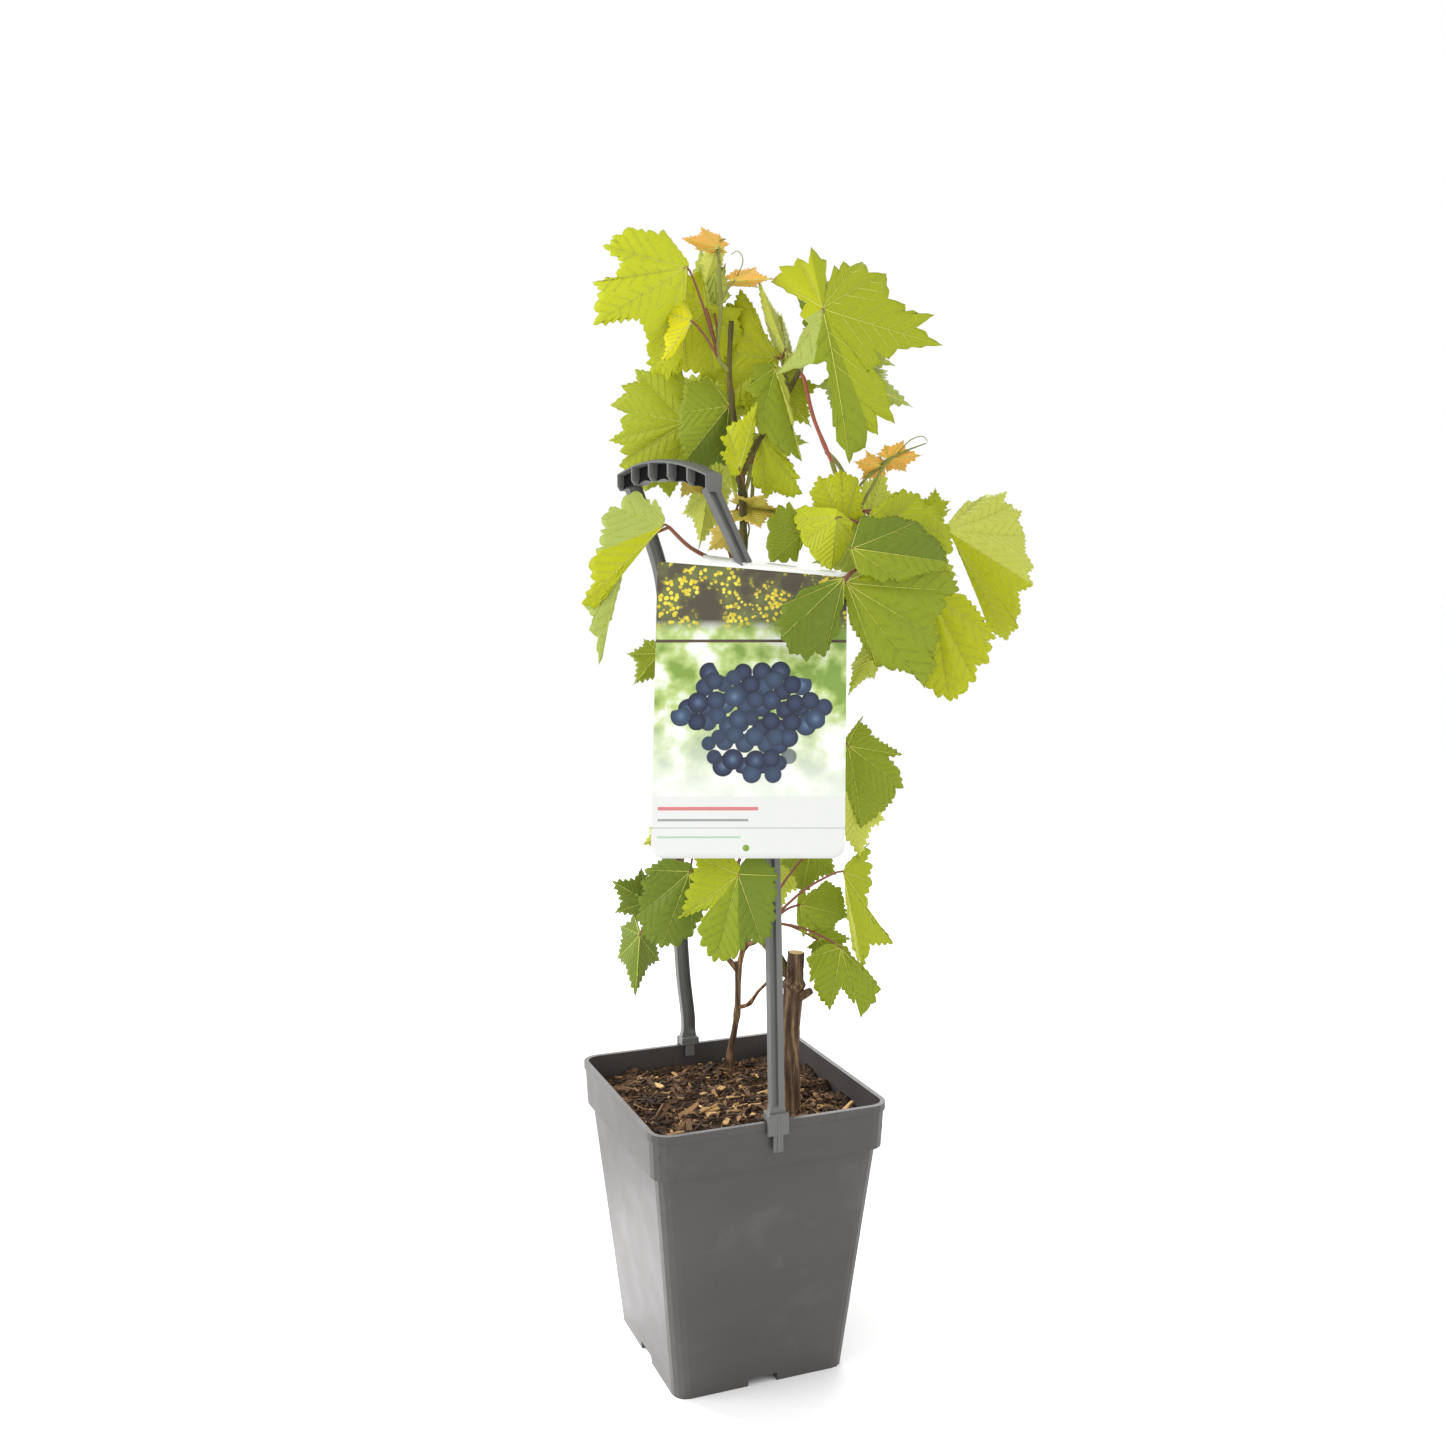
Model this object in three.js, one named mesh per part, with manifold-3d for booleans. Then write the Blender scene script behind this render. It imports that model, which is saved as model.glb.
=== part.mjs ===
// A young grapevine in a square nursery pot with a clip-on carry handle and a hang label.
// Millimetres, +Z up. The origin is the middle of the pot's underside, X and Y run along the pot's sides.
import * as THREE from 'three';
import { mergeVertices } from 'three/addons/utils/BufferGeometryUtils.js';
import Module from 'manifold-3d';

const wasm = await Module();
wasm.setup();

// Driving dimensions of the pot
const RIM = 150;
const BASE = 110;
const POT_HEIGHT = 171;
const WALL = 2;
const CORNER = 9;
const LIP_HEIGHT = 5;
const LIP_PROUD = 1;
const COLLAR_HEIGHT = 28;
const COLLAR_STEP = 3;
const FLOOR = 8;
const CHANNEL_WIDTH = 19;
const CHANNEL_HEIGHT = 5;
const PAD_RADIUS = 10;
const GAP = 0.3;

// Driving dimensions of the soil
const SOIL_LEVEL = 157;
const SOIL_RELIEF = 2.5;

// Driving dimensions of the handle
const LEG_WIDTH = 8.5;
const LEG_THICKNESS = 4.5;
const FOOT_WIDTH = 12;
const CLIP_DROP = 8;
const TONGUE_DROP = 18;
const TONGUE_WIDTH = 6;
const GRIP_WIDTH = 17;
const GRIP_HEIGHT = 13;
const FINGER_GROOVES = 5;

// Driving dimensions of the label
const CARD_THICKNESS = 1;
const CARD_CORNER = 7;

// The plant faces the viewer squarely while the pot is turned under it
const POT_TURN = THREE.MathUtils.degToRad(21.53);
const VIEWPOINT = { x: -4, distance: 900, z: 496.5 };

// Driving dimensions of a leaf, as shares of its length from petiole to tip
const LEAF_THICKNESS = 0.012;
const LEAF_MIN_THICKNESS = 0.8;
const LOBES = [[0, 1], [55, 0.82], [103, 0.6], [146, 0.44]];
const SINUSES = [[31, 0.62], [80, 0.5], [126, 0.38], [180, 0.06]];
const SMALL_LEAF = 52;
const BLADE_CENTRE = 0.25;
const INNER_RING = 0.5;
const PETIOLE_RADIUS = 1.1;

const rad = THREE.MathUtils.degToRad;

function material(color, roughness, metalness = 0) {
  return new THREE.MeshStandardMaterial({ color, roughness, metalness });
}

const potPlastic = material(0x5c5957, 0.55);
const handlePlastic = material(0x6b6e70, 0.5);
const soilBrown = material(0x4a3526, 0.95);
const cardPaper = material(0xe8ebe4, 0.5);
const woodBark = material(0x6f4f38, 0.85);
const caneBark = material(0x57502c, 0.7);
const redShoot = material(0x9c5f48, 0.6);
const leafGreen = material(0x9fb22e, 0.6);

// A point that lines up, from the viewpoint, with (x, z) on the plant's middle plane, but lies deeper
function sight([x, z, depth]) {
  const k = (VIEWPOINT.distance + depth) / VIEWPOINT.distance;
  return new THREE.Vector3(VIEWPOINT.x + (x - VIEWPOINT.x) * k, depth, VIEWPOINT.z + (z - VIEWPOINT.z) * k);
}

// Solids: triangles to a manifold and back
function solid(positions, triangles) {
  const mesh = new wasm.Mesh({
    numProp: 3,
    vertProperties: Float32Array.from(positions),
    triVerts: Uint32Array.from(triangles),
  });
  return new wasm.Manifold(mesh);
}

function solidOf(geometry) {
  const plain = geometry.index ? geometry.toNonIndexed() : geometry.clone();
  plain.deleteAttribute('normal');
  plain.deleteAttribute('uv');
  const merged = mergeVertices(plain, 1e-3);
  return solid(merged.attributes.position.array, merged.index.array);
}

function geometryOf(manifold) {
  const mesh = manifold.getMesh();
  const geometry = new THREE.BufferGeometry();
  geometry.setAttribute('position', new THREE.BufferAttribute(new Float32Array(mesh.vertProperties), 3));
  geometry.setIndex([...mesh.triVerts]);
  return geometry;
}

function fuse(solids) {
  return solids.reduce((all, one) => all.add(one));
}

function largest(manifold) {
  const pieces = manifold.decompose();
  return pieces.reduce((best, piece) => (piece.volume() > best.volume() ? piece : best));
}

function moved(geometry, x, y, z) {
  return geometry.translate(x, y, z);
}

// A stack of rings of equal point count, capped at both ends
function loft(rings) {
  const count = rings[0].length;
  const positions = [];
  const triangles = [];
  for (const ring of rings) {
    for (const point of ring) {
      positions.push(point.x, point.y, point.z);
    }
  }
  for (let level = 0; level + 1 < rings.length; level += 1) {
    for (let i = 0; i < count; i += 1) {
      const a = level * count + i;
      const b = level * count + (i + 1) % count;
      triangles.push(a, b, b + count, a, b + count, a + count);
    }
  }
  const top = (rings.length - 1) * count;
  for (let i = 1; i + 1 < count; i += 1) {
    triangles.push(0, i + 1, i);
    triangles.push(top, top + i, top + i + 1);
  }
  return solid(positions, triangles);
}

// A tapering limb through the given points, its radii spread evenly along it. Grown, it is a clearance round it
function limb(points, radii, sides, steps, grow = 0) {
  const curve = new THREE.CatmullRomCurve3(points, false, 'centripetal');
  const frames = curve.computeFrenetFrames(steps, false);
  const rings = [];
  for (let step = 0; step <= steps; step += 1) {
    const t = step / steps;
    const place = t * (radii.length - 1);
    const low = Math.min(Math.floor(place), radii.length - 2);
    const radius = THREE.MathUtils.lerp(radii[low], radii[low + 1], place - low) + grow;
    const beyond = step === 0 ? -grow : step === steps ? grow : 0;
    const centre = curve.getPoint(t).addScaledVector(frames.tangents[step], beyond);
    const ring = [];
    for (let i = 0; i < sides; i += 1) {
      const angle = (2 * Math.PI * i) / sides;
      const across = frames.normals[step].clone().multiplyScalar(Math.cos(angle) * radius);
      const up = frames.binormals[step].clone().multiplyScalar(Math.sin(angle) * radius);
      ring.push(centre.clone().add(across).add(up));
    }
    rings.push(ring);
  }
  return loft(rings);
}

// The pot

function square(half, radius, z) {
  const ring = [];
  const inner = half - radius;
  const steps = 4;
  for (let corner = 0; corner < 4; corner += 1) {
    const sx = corner === 0 || corner === 3 ? 1 : -1;
    const sy = corner < 2 ? 1 : -1;
    for (let i = 0; i <= steps; i += 1) {
      const angle = (Math.PI / 2) * (corner + i / steps);
      ring.push(new THREE.Vector3(sx * inner + radius * Math.cos(angle), sy * inner + radius * Math.sin(angle), z));
    }
  }
  return ring;
}

const COLLAR_Z = POT_HEIGHT - COLLAR_HEIGHT;
const LIP_Z = POT_HEIGHT - LIP_HEIGHT;
const RIM_HALF = RIM / 2;
const COLLAR_HALF = RIM_HALF - LIP_PROUD;
const COLLAR_FOOT_HALF = COLLAR_HALF - 1;
const BODY_TOP_HALF = COLLAR_FOOT_HALF - COLLAR_STEP;

function innerHalf(z) {
  if (z < COLLAR_Z) {
    return THREE.MathUtils.mapLinear(z, 0, COLLAR_Z, BASE / 2, BODY_TOP_HALF) - WALL;
  }
  return THREE.MathUtils.mapLinear(z, COLLAR_Z, POT_HEIGHT, COLLAR_FOOT_HALF, COLLAR_HALF) - WALL;
}

function makePot() {
  const outer = loft([
    square(BASE / 2, CORNER, 0),
    square(BODY_TOP_HALF, CORNER + 1, COLLAR_Z),
    square(COLLAR_FOOT_HALF, CORNER + 2, COLLAR_Z + 0.5),
    square(COLLAR_HALF, CORNER + 2, LIP_Z),
    square(RIM_HALF, CORNER + 3, LIP_Z + 0.5),
    square(RIM_HALF, CORNER + 3, POT_HEIGHT),
  ]);
  const hollow = loft([
    square(innerHalf(FLOOR), CORNER - WALL, FLOOR),
    square(innerHalf(COLLAR_Z - 1), CORNER - 1, COLLAR_Z + 1),
    square(innerHalf(COLLAR_Z), CORNER, COLLAR_Z + 3),
    square(innerHalf(POT_HEIGHT), CORNER, POT_HEIGHT + 1),
  ]);
  const channelX = new THREE.BoxGeometry(BASE + 20, CHANNEL_WIDTH, 2 * CHANNEL_HEIGHT);
  const channelY = new THREE.BoxGeometry(CHANNEL_WIDTH, BASE + 20, 2 * CHANNEL_HEIGHT);
  const pad = new THREE.CylinderGeometry(PAD_RADIUS, PAD_RADIUS, CHANNEL_HEIGHT + 1, 16).rotateX(Math.PI / 2);
  return outer
    .subtract(hollow)
    .subtract(solidOf(channelX))
    .subtract(solidOf(channelY))
    .add(solidOf(moved(pad, 0, 0, (CHANNEL_HEIGHT + 1) / 2)));
}

// The soil fills the pot to just under the rim and has a slightly uneven top
function makeSoil() {
  const side = innerHalf(SOIL_LEVEL) - GAP;
  const cells = 8;
  const positions = [];
  const triangles = [];
  const across = (i) => -1 + (2 * i) / cells;
  const inside = (x, y) => {
    const limit = side - 3;
    return [x * limit, y * limit];
  };
  for (let j = 0; j <= cells; j += 1) {
    for (let i = 0; i <= cells; i += 1) {
      const [x, y] = inside(across(i), across(j));
      const bump = Math.sin(x * 0.13 + 1) * Math.cos(y * 0.11 - 0.5) + 0.6 * Math.sin(x * 0.05 - y * 0.23);
      positions.push(x, y, SOIL_LEVEL + bump * SOIL_RELIEF);
    }
  }
  const under = positions.length / 3;
  for (let j = 0; j <= cells; j += 1) {
    for (let i = 0; i <= cells; i += 1) {
      const [x, y] = inside(across(i), across(j));
      positions.push(x, y, SOIL_LEVEL - 9);
    }
  }
  const at = (i, j) => j * (cells + 1) + i;
  for (let j = 0; j < cells; j += 1) {
    for (let i = 0; i < cells; i += 1) {
      const [a, b, c, d] = [at(i, j), at(i + 1, j), at(i + 1, j + 1), at(i, j + 1)];
      triangles.push(a, b, c, a, c, d);
      triangles.push(under + a, under + c, under + b, under + a, under + d, under + c);
    }
  }
  for (let i = 0; i < cells; i += 1) {
    const edges = [
      [at(i + 1, 0), at(i, 0)],
      [at(i, cells), at(i + 1, cells)],
      [at(0, i), at(0, i + 1)],
      [at(cells, i + 1), at(cells, i)],
    ];
    for (const [a, b] of edges) {
      triangles.push(a, b, under + b, a, under + b, under + a);
    }
  }
  const top = solid(positions, triangles);
  const body = loft([
    square(innerHalf(FLOOR) - GAP, CORNER - WALL, FLOOR + GAP),
    square(innerHalf(COLLAR_Z - 1) - GAP, CORNER - 1, COLLAR_Z + 1 + GAP),
    square(innerHalf(COLLAR_Z) - GAP, CORNER, COLLAR_Z + 3 + 2 * GAP),
    square(innerHalf(SOIL_LEVEL - 3) - GAP, CORNER, SOIL_LEVEL - 3),
  ]);
  return top.add(body);
}

// The handle: two legs that straddle the rim and a moulded grip, in the pot's own directions

function fromView(point) {
  return point.clone().applyAxisAngle(new THREE.Vector3(0, 0, 1), -POT_TURN);
}

// A flat strap along a curve, its width kept level and across the given direction
function strap(points, widths, thickness, steps, acrossAt) {
  const curve = new THREE.CatmullRomCurve3(points, false, 'centripetal');
  const rings = [];
  for (let step = 0; step <= steps; step += 1) {
    const t = step / steps;
    const centre = curve.getPoint(t);
    const along = curve.getTangent(t);
    const place = t * (widths.length - 1);
    const low = Math.min(Math.floor(place), widths.length - 2);
    const width = THREE.MathUtils.lerp(widths[low], widths[low + 1], place - low);
    const across = acrossAt(t).clone();
    across.addScaledVector(along, -across.dot(along)).normalize();
    const out = new THREE.Vector3().crossVectors(along, across);
    const ring = [];
    for (const [sx, sy] of [[-1, -1], [1, -1], [1, 1], [-1, 1]]) {
      ring.push(centre.clone()
        .addScaledVector(across, (sx * width) / 2)
        .addScaledVector(out, (sy * thickness) / 2));
    }
    rings.push(ring);
  }
  return loft(rings);
}

const FRONT_LEG = [[28, 240, -66], [26.5, 300, -61], [23, 420, -46], [20.5, 462, -41], [8, 493, -36], [-11.5, 536, -26]];
const BACK_LEG = [[-28.5, 240, 66], [-33, 330, 56], [-37, 420, 46], [-40, 480, 38], [-46.5, 505, 33], [-57.5, 537, 24]];
const GRIP = [[-62, 539, 29], [-50, 544, 16], [-36, 546, 0], [-22, 544, -15], [-9, 539, -29]];

const gripLine = GRIP.map((p) => fromView(sight(p)));
const gripDirection = gripLine[4].clone().sub(gripLine[0]).setZ(0).normalize();
const gripSide = new THREE.Vector3(-gripDirection.y, gripDirection.x, 0);

function makeLeg(route, side, grow = 0) {
  const start = new THREE.Vector3(0, side * (RIM_HALF - 1), POT_HEIGHT + 3);
  const low = new THREE.Vector3(0, side * (RIM_HALF - 1.5), POT_HEIGHT + 16);
  const points = [start, low, ...route.map((p) => fromView(sight(p)))];
  const widths = [FOOT_WIDTH, LEG_WIDTH, LEG_WIDTH, LEG_WIDTH, LEG_WIDTH, LEG_WIDTH, LEG_WIDTH, LEG_WIDTH + 2];
  const straight = new THREE.Vector3(1, 0, 0);
  const turned = gripSide.clone().multiplyScalar(gripSide.x > 0 ? 1 : -1);
  const wide = widths.map((width) => width + 2 * grow);
  return strap(points, wide, LEG_THICKNESS + 2 * grow, 13, (t) => straight.clone().lerp(turned, t));
}

function makeGrip(grow = 0) {
  const grip = new THREE.CatmullRomCurve3(gripLine, false, 'centripetal');
  const section = [[-1, -0.7], [-0.6, -1], [0.6, -1], [1, -0.7], [1, 0.3], [0.55, 1], [-0.55, 1], [-1, 0.3]];
  const rings = [];
  const steps = 15;
  for (let step = 0; step <= steps; step += 1) {
    const t = step / steps;
    const swell = Math.sin(Math.PI * t);
    const width = (GRIP_WIDTH / 2) * (0.75 + 0.25 * swell) + grow;
    const height = (GRIP_HEIGHT / 2) * (0.85 + 0.15 * swell) + grow;
    const scallop = 1 - 0.18 * Math.sin(FINGER_GROOVES * Math.PI * t) ** 2;
    const beyond = step === 0 ? -grow : step === steps ? grow : 0;
    const centre = grip.getPoint(t).addScaledVector(gripDirection, beyond);
    rings.push(section.map(([sx, sz]) => centre.clone()
      .addScaledVector(gripSide, sx * width)
      .add(new THREE.Vector3(0, 0, (sz < 0 ? sz * scallop : sz) * height))));
  }
  return loft(rings);
}

function makeHandle() {
  const parts = [makeGrip()];
  for (const [route, side] of [[FRONT_LEG, -1], [BACK_LEG, 1]]) {
    parts.push(makeLeg(route, side));
    // The foot is a fork over the rim: a clip and a tongue outside, a shorter tongue inside
    const outer = side * (RIM_HALF + GAP + 1.25);
    const inner = side * (innerHalf(POT_HEIGHT - 8) - GAP - 1.25);
    const bridgeWidth = Math.abs(outer - inner) + 2.5;
    const bridge = new THREE.BoxGeometry(FOOT_WIDTH, bridgeWidth, 5);
    const clip = new THREE.BoxGeometry(FOOT_WIDTH, 2.5, CLIP_DROP + 5);
    const tongue = new THREE.BoxGeometry(TONGUE_WIDTH, 2.5, TONGUE_DROP + 5);
    const insideTongue = new THREE.BoxGeometry(TONGUE_WIDTH, 2.5, TONGUE_DROP - 6);
    const base = POT_HEIGHT + GAP;
    parts.push(solidOf(moved(bridge, 0, (outer + inner) / 2, base + 2.5)));
    parts.push(solidOf(moved(clip, 0, outer, base + 5 - (CLIP_DROP + 5) / 2)));
    parts.push(solidOf(moved(tongue, 0, outer, base + 5 - (TONGUE_DROP + 5) / 2)));
    parts.push(solidOf(moved(insideTongue, 0, inner, base + 5 - (TONGUE_DROP - 6) / 2)));
  }
  return fuse(parts);
}

// The label: a card that leans back, folded over at its top, hung on the front leg through a slot

const CARD_TOP_DEPTH = -44;
const CARD_FOOT_DEPTH = -82;
const CARD_TOP_LEFT = [-43, 492];
const CARD_TOP_RIGHT = [73, 482];
const CARD_FOOT_LEFT = [-48, 311];
const CARD_FOOT_RIGHT = [71, 311];
const FLAP_DEPTH = 16;

function makeCard(grow = 0) {
  const topLeft = sight([...CARD_TOP_LEFT, CARD_TOP_DEPTH]);
  const topRight = sight([...CARD_TOP_RIGHT, CARD_TOP_DEPTH]);
  const footLeft = sight([...CARD_FOOT_LEFT, CARD_FOOT_DEPTH]);
  const footRight = sight([...CARD_FOOT_RIGHT, CARD_FOOT_DEPTH]);
  const up = topLeft.clone().sub(footLeft);
  const height = up.length();
  up.normalize();
  const right = footRight.clone().sub(footLeft);
  const width = right.length();
  right.normalize();
  const out = new THREE.Vector3().crossVectors(right, up).normalize();
  const drop = height - topRight.clone().sub(footRight).dot(up);
  const [low, high, top] = [-grow, width + grow, height + grow];
  const outline = new THREE.Shape();
  outline.moveTo(CARD_CORNER, low);
  outline.lineTo(width - CARD_CORNER, low);
  outline.absarc(high - CARD_CORNER, low + CARD_CORNER, CARD_CORNER, -Math.PI / 2, 0, false);
  outline.lineTo(high, top - drop);
  outline.lineTo(low, top);
  outline.lineTo(low, low + CARD_CORNER);
  outline.absarc(low + CARD_CORNER, low + CARD_CORNER, CARD_CORNER, Math.PI, 1.5 * Math.PI, false);
  const thickness = CARD_THICKNESS + 2 * grow;
  const panel = new THREE.ExtrudeGeometry(outline, { depth: thickness, bevelEnabled: false, curveSegments: 4 });
  const frame = new THREE.Matrix4().makeBasis(right, up, out).setPosition(footLeft);
  panel.translate(0, 0, -grow).applyMatrix4(frame);
  const back = new THREE.Vector3(0, 1, 0.12).normalize();
  const flapEnds = [[0.03, 0.12, -grow], [0.97, 0.88, grow]];
  const flapLine = (at, reachOut) => flapEnds.map((end) => topLeft.clone().lerp(topRight, end[at])
    .addScaledVector(right, end[2])
    .addScaledVector(back, reachOut));
  const near = flapLine(0, 0);
  const far = flapLine(1, FLAP_DEPTH + grow);
  const ring = [near[0], near[1], far[1], far[0]];
  const flap = loft([-CARD_THICKNESS - grow, grow].map((rise) => ring.map((p) => p.clone().setZ(p.z + rise))));
  return solidOf(panel).add(flap).rotate([0, 0, THREE.MathUtils.radToDeg(-POT_TURN)]);
}

// Leaves

// The outline's reach at an angle from the midrib: pointed lobes with rounded bays between them
function reach(angle, fill) {
  for (let i = 0; i < LOBES.length; i += 1) {
    const [tip, tipReach] = LOBES[i];
    const bay = SINUSES[i][0];
    const bayReach = THREE.MathUtils.lerp(SINUSES[i][1], LOBES[i + 1]?.[1] ?? SINUSES[i][1], fill);
    if (angle <= bay && angle >= tip) {
      const share = (angle - tip) / (bay - tip);
      return bayReach + (tipReach - bayReach) * (1 - share) ** 1.4;
    }
    const next = LOBES[i + 1];
    if (next && angle > bay && angle < next[0]) {
      const share = (next[0] - angle) / (next[0] - bay);
      return bayReach + (next[1] - bayReach) * (1 - share) ** 1.4;
    }
  }
  return SINUSES.at(-1)[1];
}

// Half of the outline, from the tip to the lobe beside the petiole
function halfOutline(spread, fill, small) {
  const angles = small ? [0, 31, 55, 80, 103, 146] : [0, 15, 31, 43, 55, 68, 80, 103, 126, 146];
  return angles.map((angle) => [Math.min(angle * spread, 160 + angle / 15), reach(angle, fill)]);
}

// The midrib's arch and the fold of each half give a blade its form
function bladePoint(leaf, u, v) {
  const half = leaf.bend / 2;
  const turned = half - leaf.bend * v;
  const flat = Math.abs(leaf.bend) < 0.01;
  const radius = flat ? 0 : 1 / (2 * Math.sin(half));
  const along = flat ? v : radius * (Math.sin(half) - Math.sin(turned));
  const bulge = flat ? 0 : radius * (Math.cos(turned) - Math.cos(half));
  const fold = rad(u > 0 ? leaf.right : leaf.left);
  const side = Math.sign(u) * Math.abs(u) * Math.cos(fold);
  const back = -Math.abs(u) * Math.sin(fold);
  const point = leaf.base.clone();
  point.addScaledVector(leaf.direction, leaf.length * along);
  point.addScaledVector(leaf.normal, leaf.length * bulge);
  point.addScaledVector(leaf.side, leaf.length * side);
  const lift = leaf.normal.clone().multiplyScalar(Math.cos(turned)).addScaledVector(leaf.direction, Math.sin(-turned));
  point.addScaledVector(lift, leaf.length * back);
  return point;
}

// A leaf from its row: junction and tip as seen from the viewpoint, turn, folds and bend
function placeLeaf(row) {
  const [root, jx, jz, jDepth, tx, tz, tDepth, turn, left, right, bend, spreadLeft = 1, spreadRight = 1, fill = 0] = row;
  const base = sight([jx, jz, jDepth]);
  const tip = sight([tx, tz, tDepth]);
  const direction = tip.clone().sub(base);
  const length = direction.length();
  direction.normalize();
  const eye = new THREE.Vector3(VIEWPOINT.x, -VIEWPOINT.distance, VIEWPOINT.z);
  const normal = eye.sub(base).normalize();
  normal.addScaledVector(direction, -normal.dot(direction)).normalize();
  normal.applyAxisAngle(direction, rad(turn));
  const side = new THREE.Vector3().crossVectors(direction, normal);
  return { root, base, direction, length, normal, side, left, right, bend, spreadLeft, spreadRight, fill };
}

function makeBlade(leaf, grow = 0) {
  const small = leaf.length < SMALL_LEAF;
  const left = halfOutline(leaf.spreadLeft, leaf.fill, small).map(([angle, share]) => [-angle, share]);
  const half = halfOutline(leaf.spreadRight, leaf.fill, small);
  const outline = [...left.slice(1).reverse(), ...half, SINUSES.at(-1)];
  const points = [[0, BLADE_CENTRE]];
  for (const [angle, share] of outline) {
    points.push([Math.sin(rad(angle)) * share, Math.cos(rad(angle)) * share]);
  }
  const count = outline.length;
  const faces = [];
  if (small) {
    for (let i = 0; i < count; i += 1) {
      faces.push([0, 1 + i, 1 + (i + 1) % count]);
    }
  } else {
    const inner = [];
    for (let i = 1; i < count; i += 2) {
      inner.push(i);
    }
    for (const i of inner) {
      const [u, v] = points[1 + i];
      points.push([u * INNER_RING, THREE.MathUtils.lerp(BLADE_CENTRE, v, INNER_RING)]);
    }
    const ringAt = (k) => 1 + count + (k % inner.length);
    for (let k = 0; k < inner.length; k += 1) {
      const edge = (steps) => 1 + ((inner[k] + steps) % count);
      const [here, next] = [ringAt(k), ringAt(k + 1)];
      faces.push([0, here, next], [here, edge(0), edge(1)], [here, edge(1), next], [next, edge(1), edge(2)]);
    }
  }
  const spots = points.map(([u, v]) => bladePoint(leaf, u, v));
  const normals = spots.map(() => new THREE.Vector3());
  for (const [a, b, c] of faces) {
    const ab = spots[b].clone().sub(spots[a]);
    const ac = spots[c].clone().sub(spots[a]);
    const normal = new THREE.Vector3().crossVectors(ab, ac);
    for (const corner of [a, b, c]) {
      normals[corner].add(normal);
    }
  }
  const thickness = Math.max(LEAF_MIN_THICKNESS, leaf.length * LEAF_THICKNESS) + 2 * grow;
  const positions = [];
  for (const sign of [1, -1]) {
    spots.forEach((spot, i) => {
      const offset = normals[i].clone().normalize().multiplyScalar((sign * thickness) / 2);
      positions.push(...spot.clone().add(offset).toArray());
    });
  }
  const triangles = [];
  const total = spots.length;
  for (const [a, b, c] of faces) {
    triangles.push(a, b, c, total + a, total + c, total + b);
  }
  for (let i = 0; i < count; i += 1) {
    const a = 1 + i;
    const b = 1 + (i + 1) % count;
    triangles.push(a, total + a, total + b, a, total + b, b);
  }
  return solid(positions, triangles);
}

// A petiole from the stem to the junction, running on a little under the midrib
function makePetiole(leaf, from, grow = 0) {
  const middle = from.clone().lerp(leaf.base, 0.5);
  middle.z += from.distanceTo(leaf.base) * 0.08;
  const inside = bladePoint(leaf, 0, 0.8 * BLADE_CENTRE);
  const radius = PETIOLE_RADIUS + grow;
  return limb([from, middle, leaf.base.clone(), inside], [radius, radius, radius, radius * 0.6], 3, 3);
}

// One mass of foliage: its stem, the petioles and the blades, fused
function makeMass(mass, grow = 0) {
  const stemPoints = mass.stem.map(sight);
  const curve = new THREE.CatmullRomCurve3(stemPoints, false, 'centripetal');
  const radius = (mass.radius ?? 1.4) + grow;
  const parts = [limb(stemPoints, [radius, radius * 0.75], 4, stemPoints.length * 2 - 1)];
  for (const row of mass.leaves) {
    const leaf = placeLeaf(row);
    parts.push(makePetiole(leaf, curve.getPoint(leaf.root), grow));
    parts.push(makeBlade(leaf, grow));
  }
  return fuse(parts);
}

// Limbs: route of [x, z, depth] as seen from the viewpoint, radii, sides, steps. Each starts inside the one
// that carries it and is cut clear of it
const ROOTED = ['stump', 'thin_stem'];
const LIMBS = {
  stump: {
    route: [[38.6, 142, -16], [38.3, 200, -13], [40, 228, -12], [41.5, 252, -12]],
    radii: [6.4, 5.6, 5.9, 5], sides: 10, steps: 8, finish: woodBark,
  },
  cane_lower: {
    route: [[39, 234, -12], [30, 250, -8], [22, 258, -4], [17, 272, 0], [14, 310, 4], [10, 380, 6], [9, 450, 5],
      [8.5, 500, 3], [8, 530, 2], [6.5, 543, 2]],
    radii: [2.8, 2.5, 2.4, 2.3, 2.3], sides: 6, steps: 18, finish: caneBark,
  },
  cane_left: {
    route: [[6.6, 541, 2], [4, 560, 3], [3, 574, 3], [1, 590, 2], [0, 605, 0], [1.2, 633, 0]],
    radii: [1.9, 1.8, 1.7, 1.3], sides: 6, steps: 12, finish: caneBark,
  },
  cane_right: {
    route: [[6.8, 540, 2], [10, 549, -1], [15, 559, -1], [21, 569, 0], [29, 583, 3], [36, 594, 5], [42, 605, 6]],
    radii: [1.8, 1.7, 1.5], sides: 6, steps: 12, finish: caneBark,
  },
  arching_shoot: {
    route: [[41.4, 603.5, 6], [44, 600, 5], [46, 592, 4], [50, 577, 2], [57, 560, 0], [63, 547, -2]],
    radii: [1.3, 1.2, 1.1], sides: 5, steps: 10, finish: redShoot,
  },
  thin_stem: {
    route: [[2, 172, 57], [1.2, 190, 57], [3, 200, 56], [5, 213, 55], [5.8, 235, 54], [6, 246, 54]],
    radii: [3, 2.2, 2, 1.9, 2.6], sides: 7, steps: 14, finish: woodBark,
  },
  back_cane: {
    route: [[6, 243, 54], [10, 256, 52], [17, 260, 46], [16, 290, 36], [10, 360, 28], [6, 430, 22], [2, 493, 18],
      [-3, 507, 16], [-9, 522, 15], [-15, 538, 15], [-20, 556, 16]],
    radii: [1.9, 1.7, 1.6, 1.5, 1.3], sides: 5, steps: 18, finish: woodBark,
  },
  side_twig: {
    route: [[5.5, 217, 55], [12, 219, 50], [18, 227, 42], [24, 233, 34], [33, 240, 22]],
    radii: [1.5, 1, 0.8], sides: 5, steps: 8, finish: woodBark,
  },
};

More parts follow.
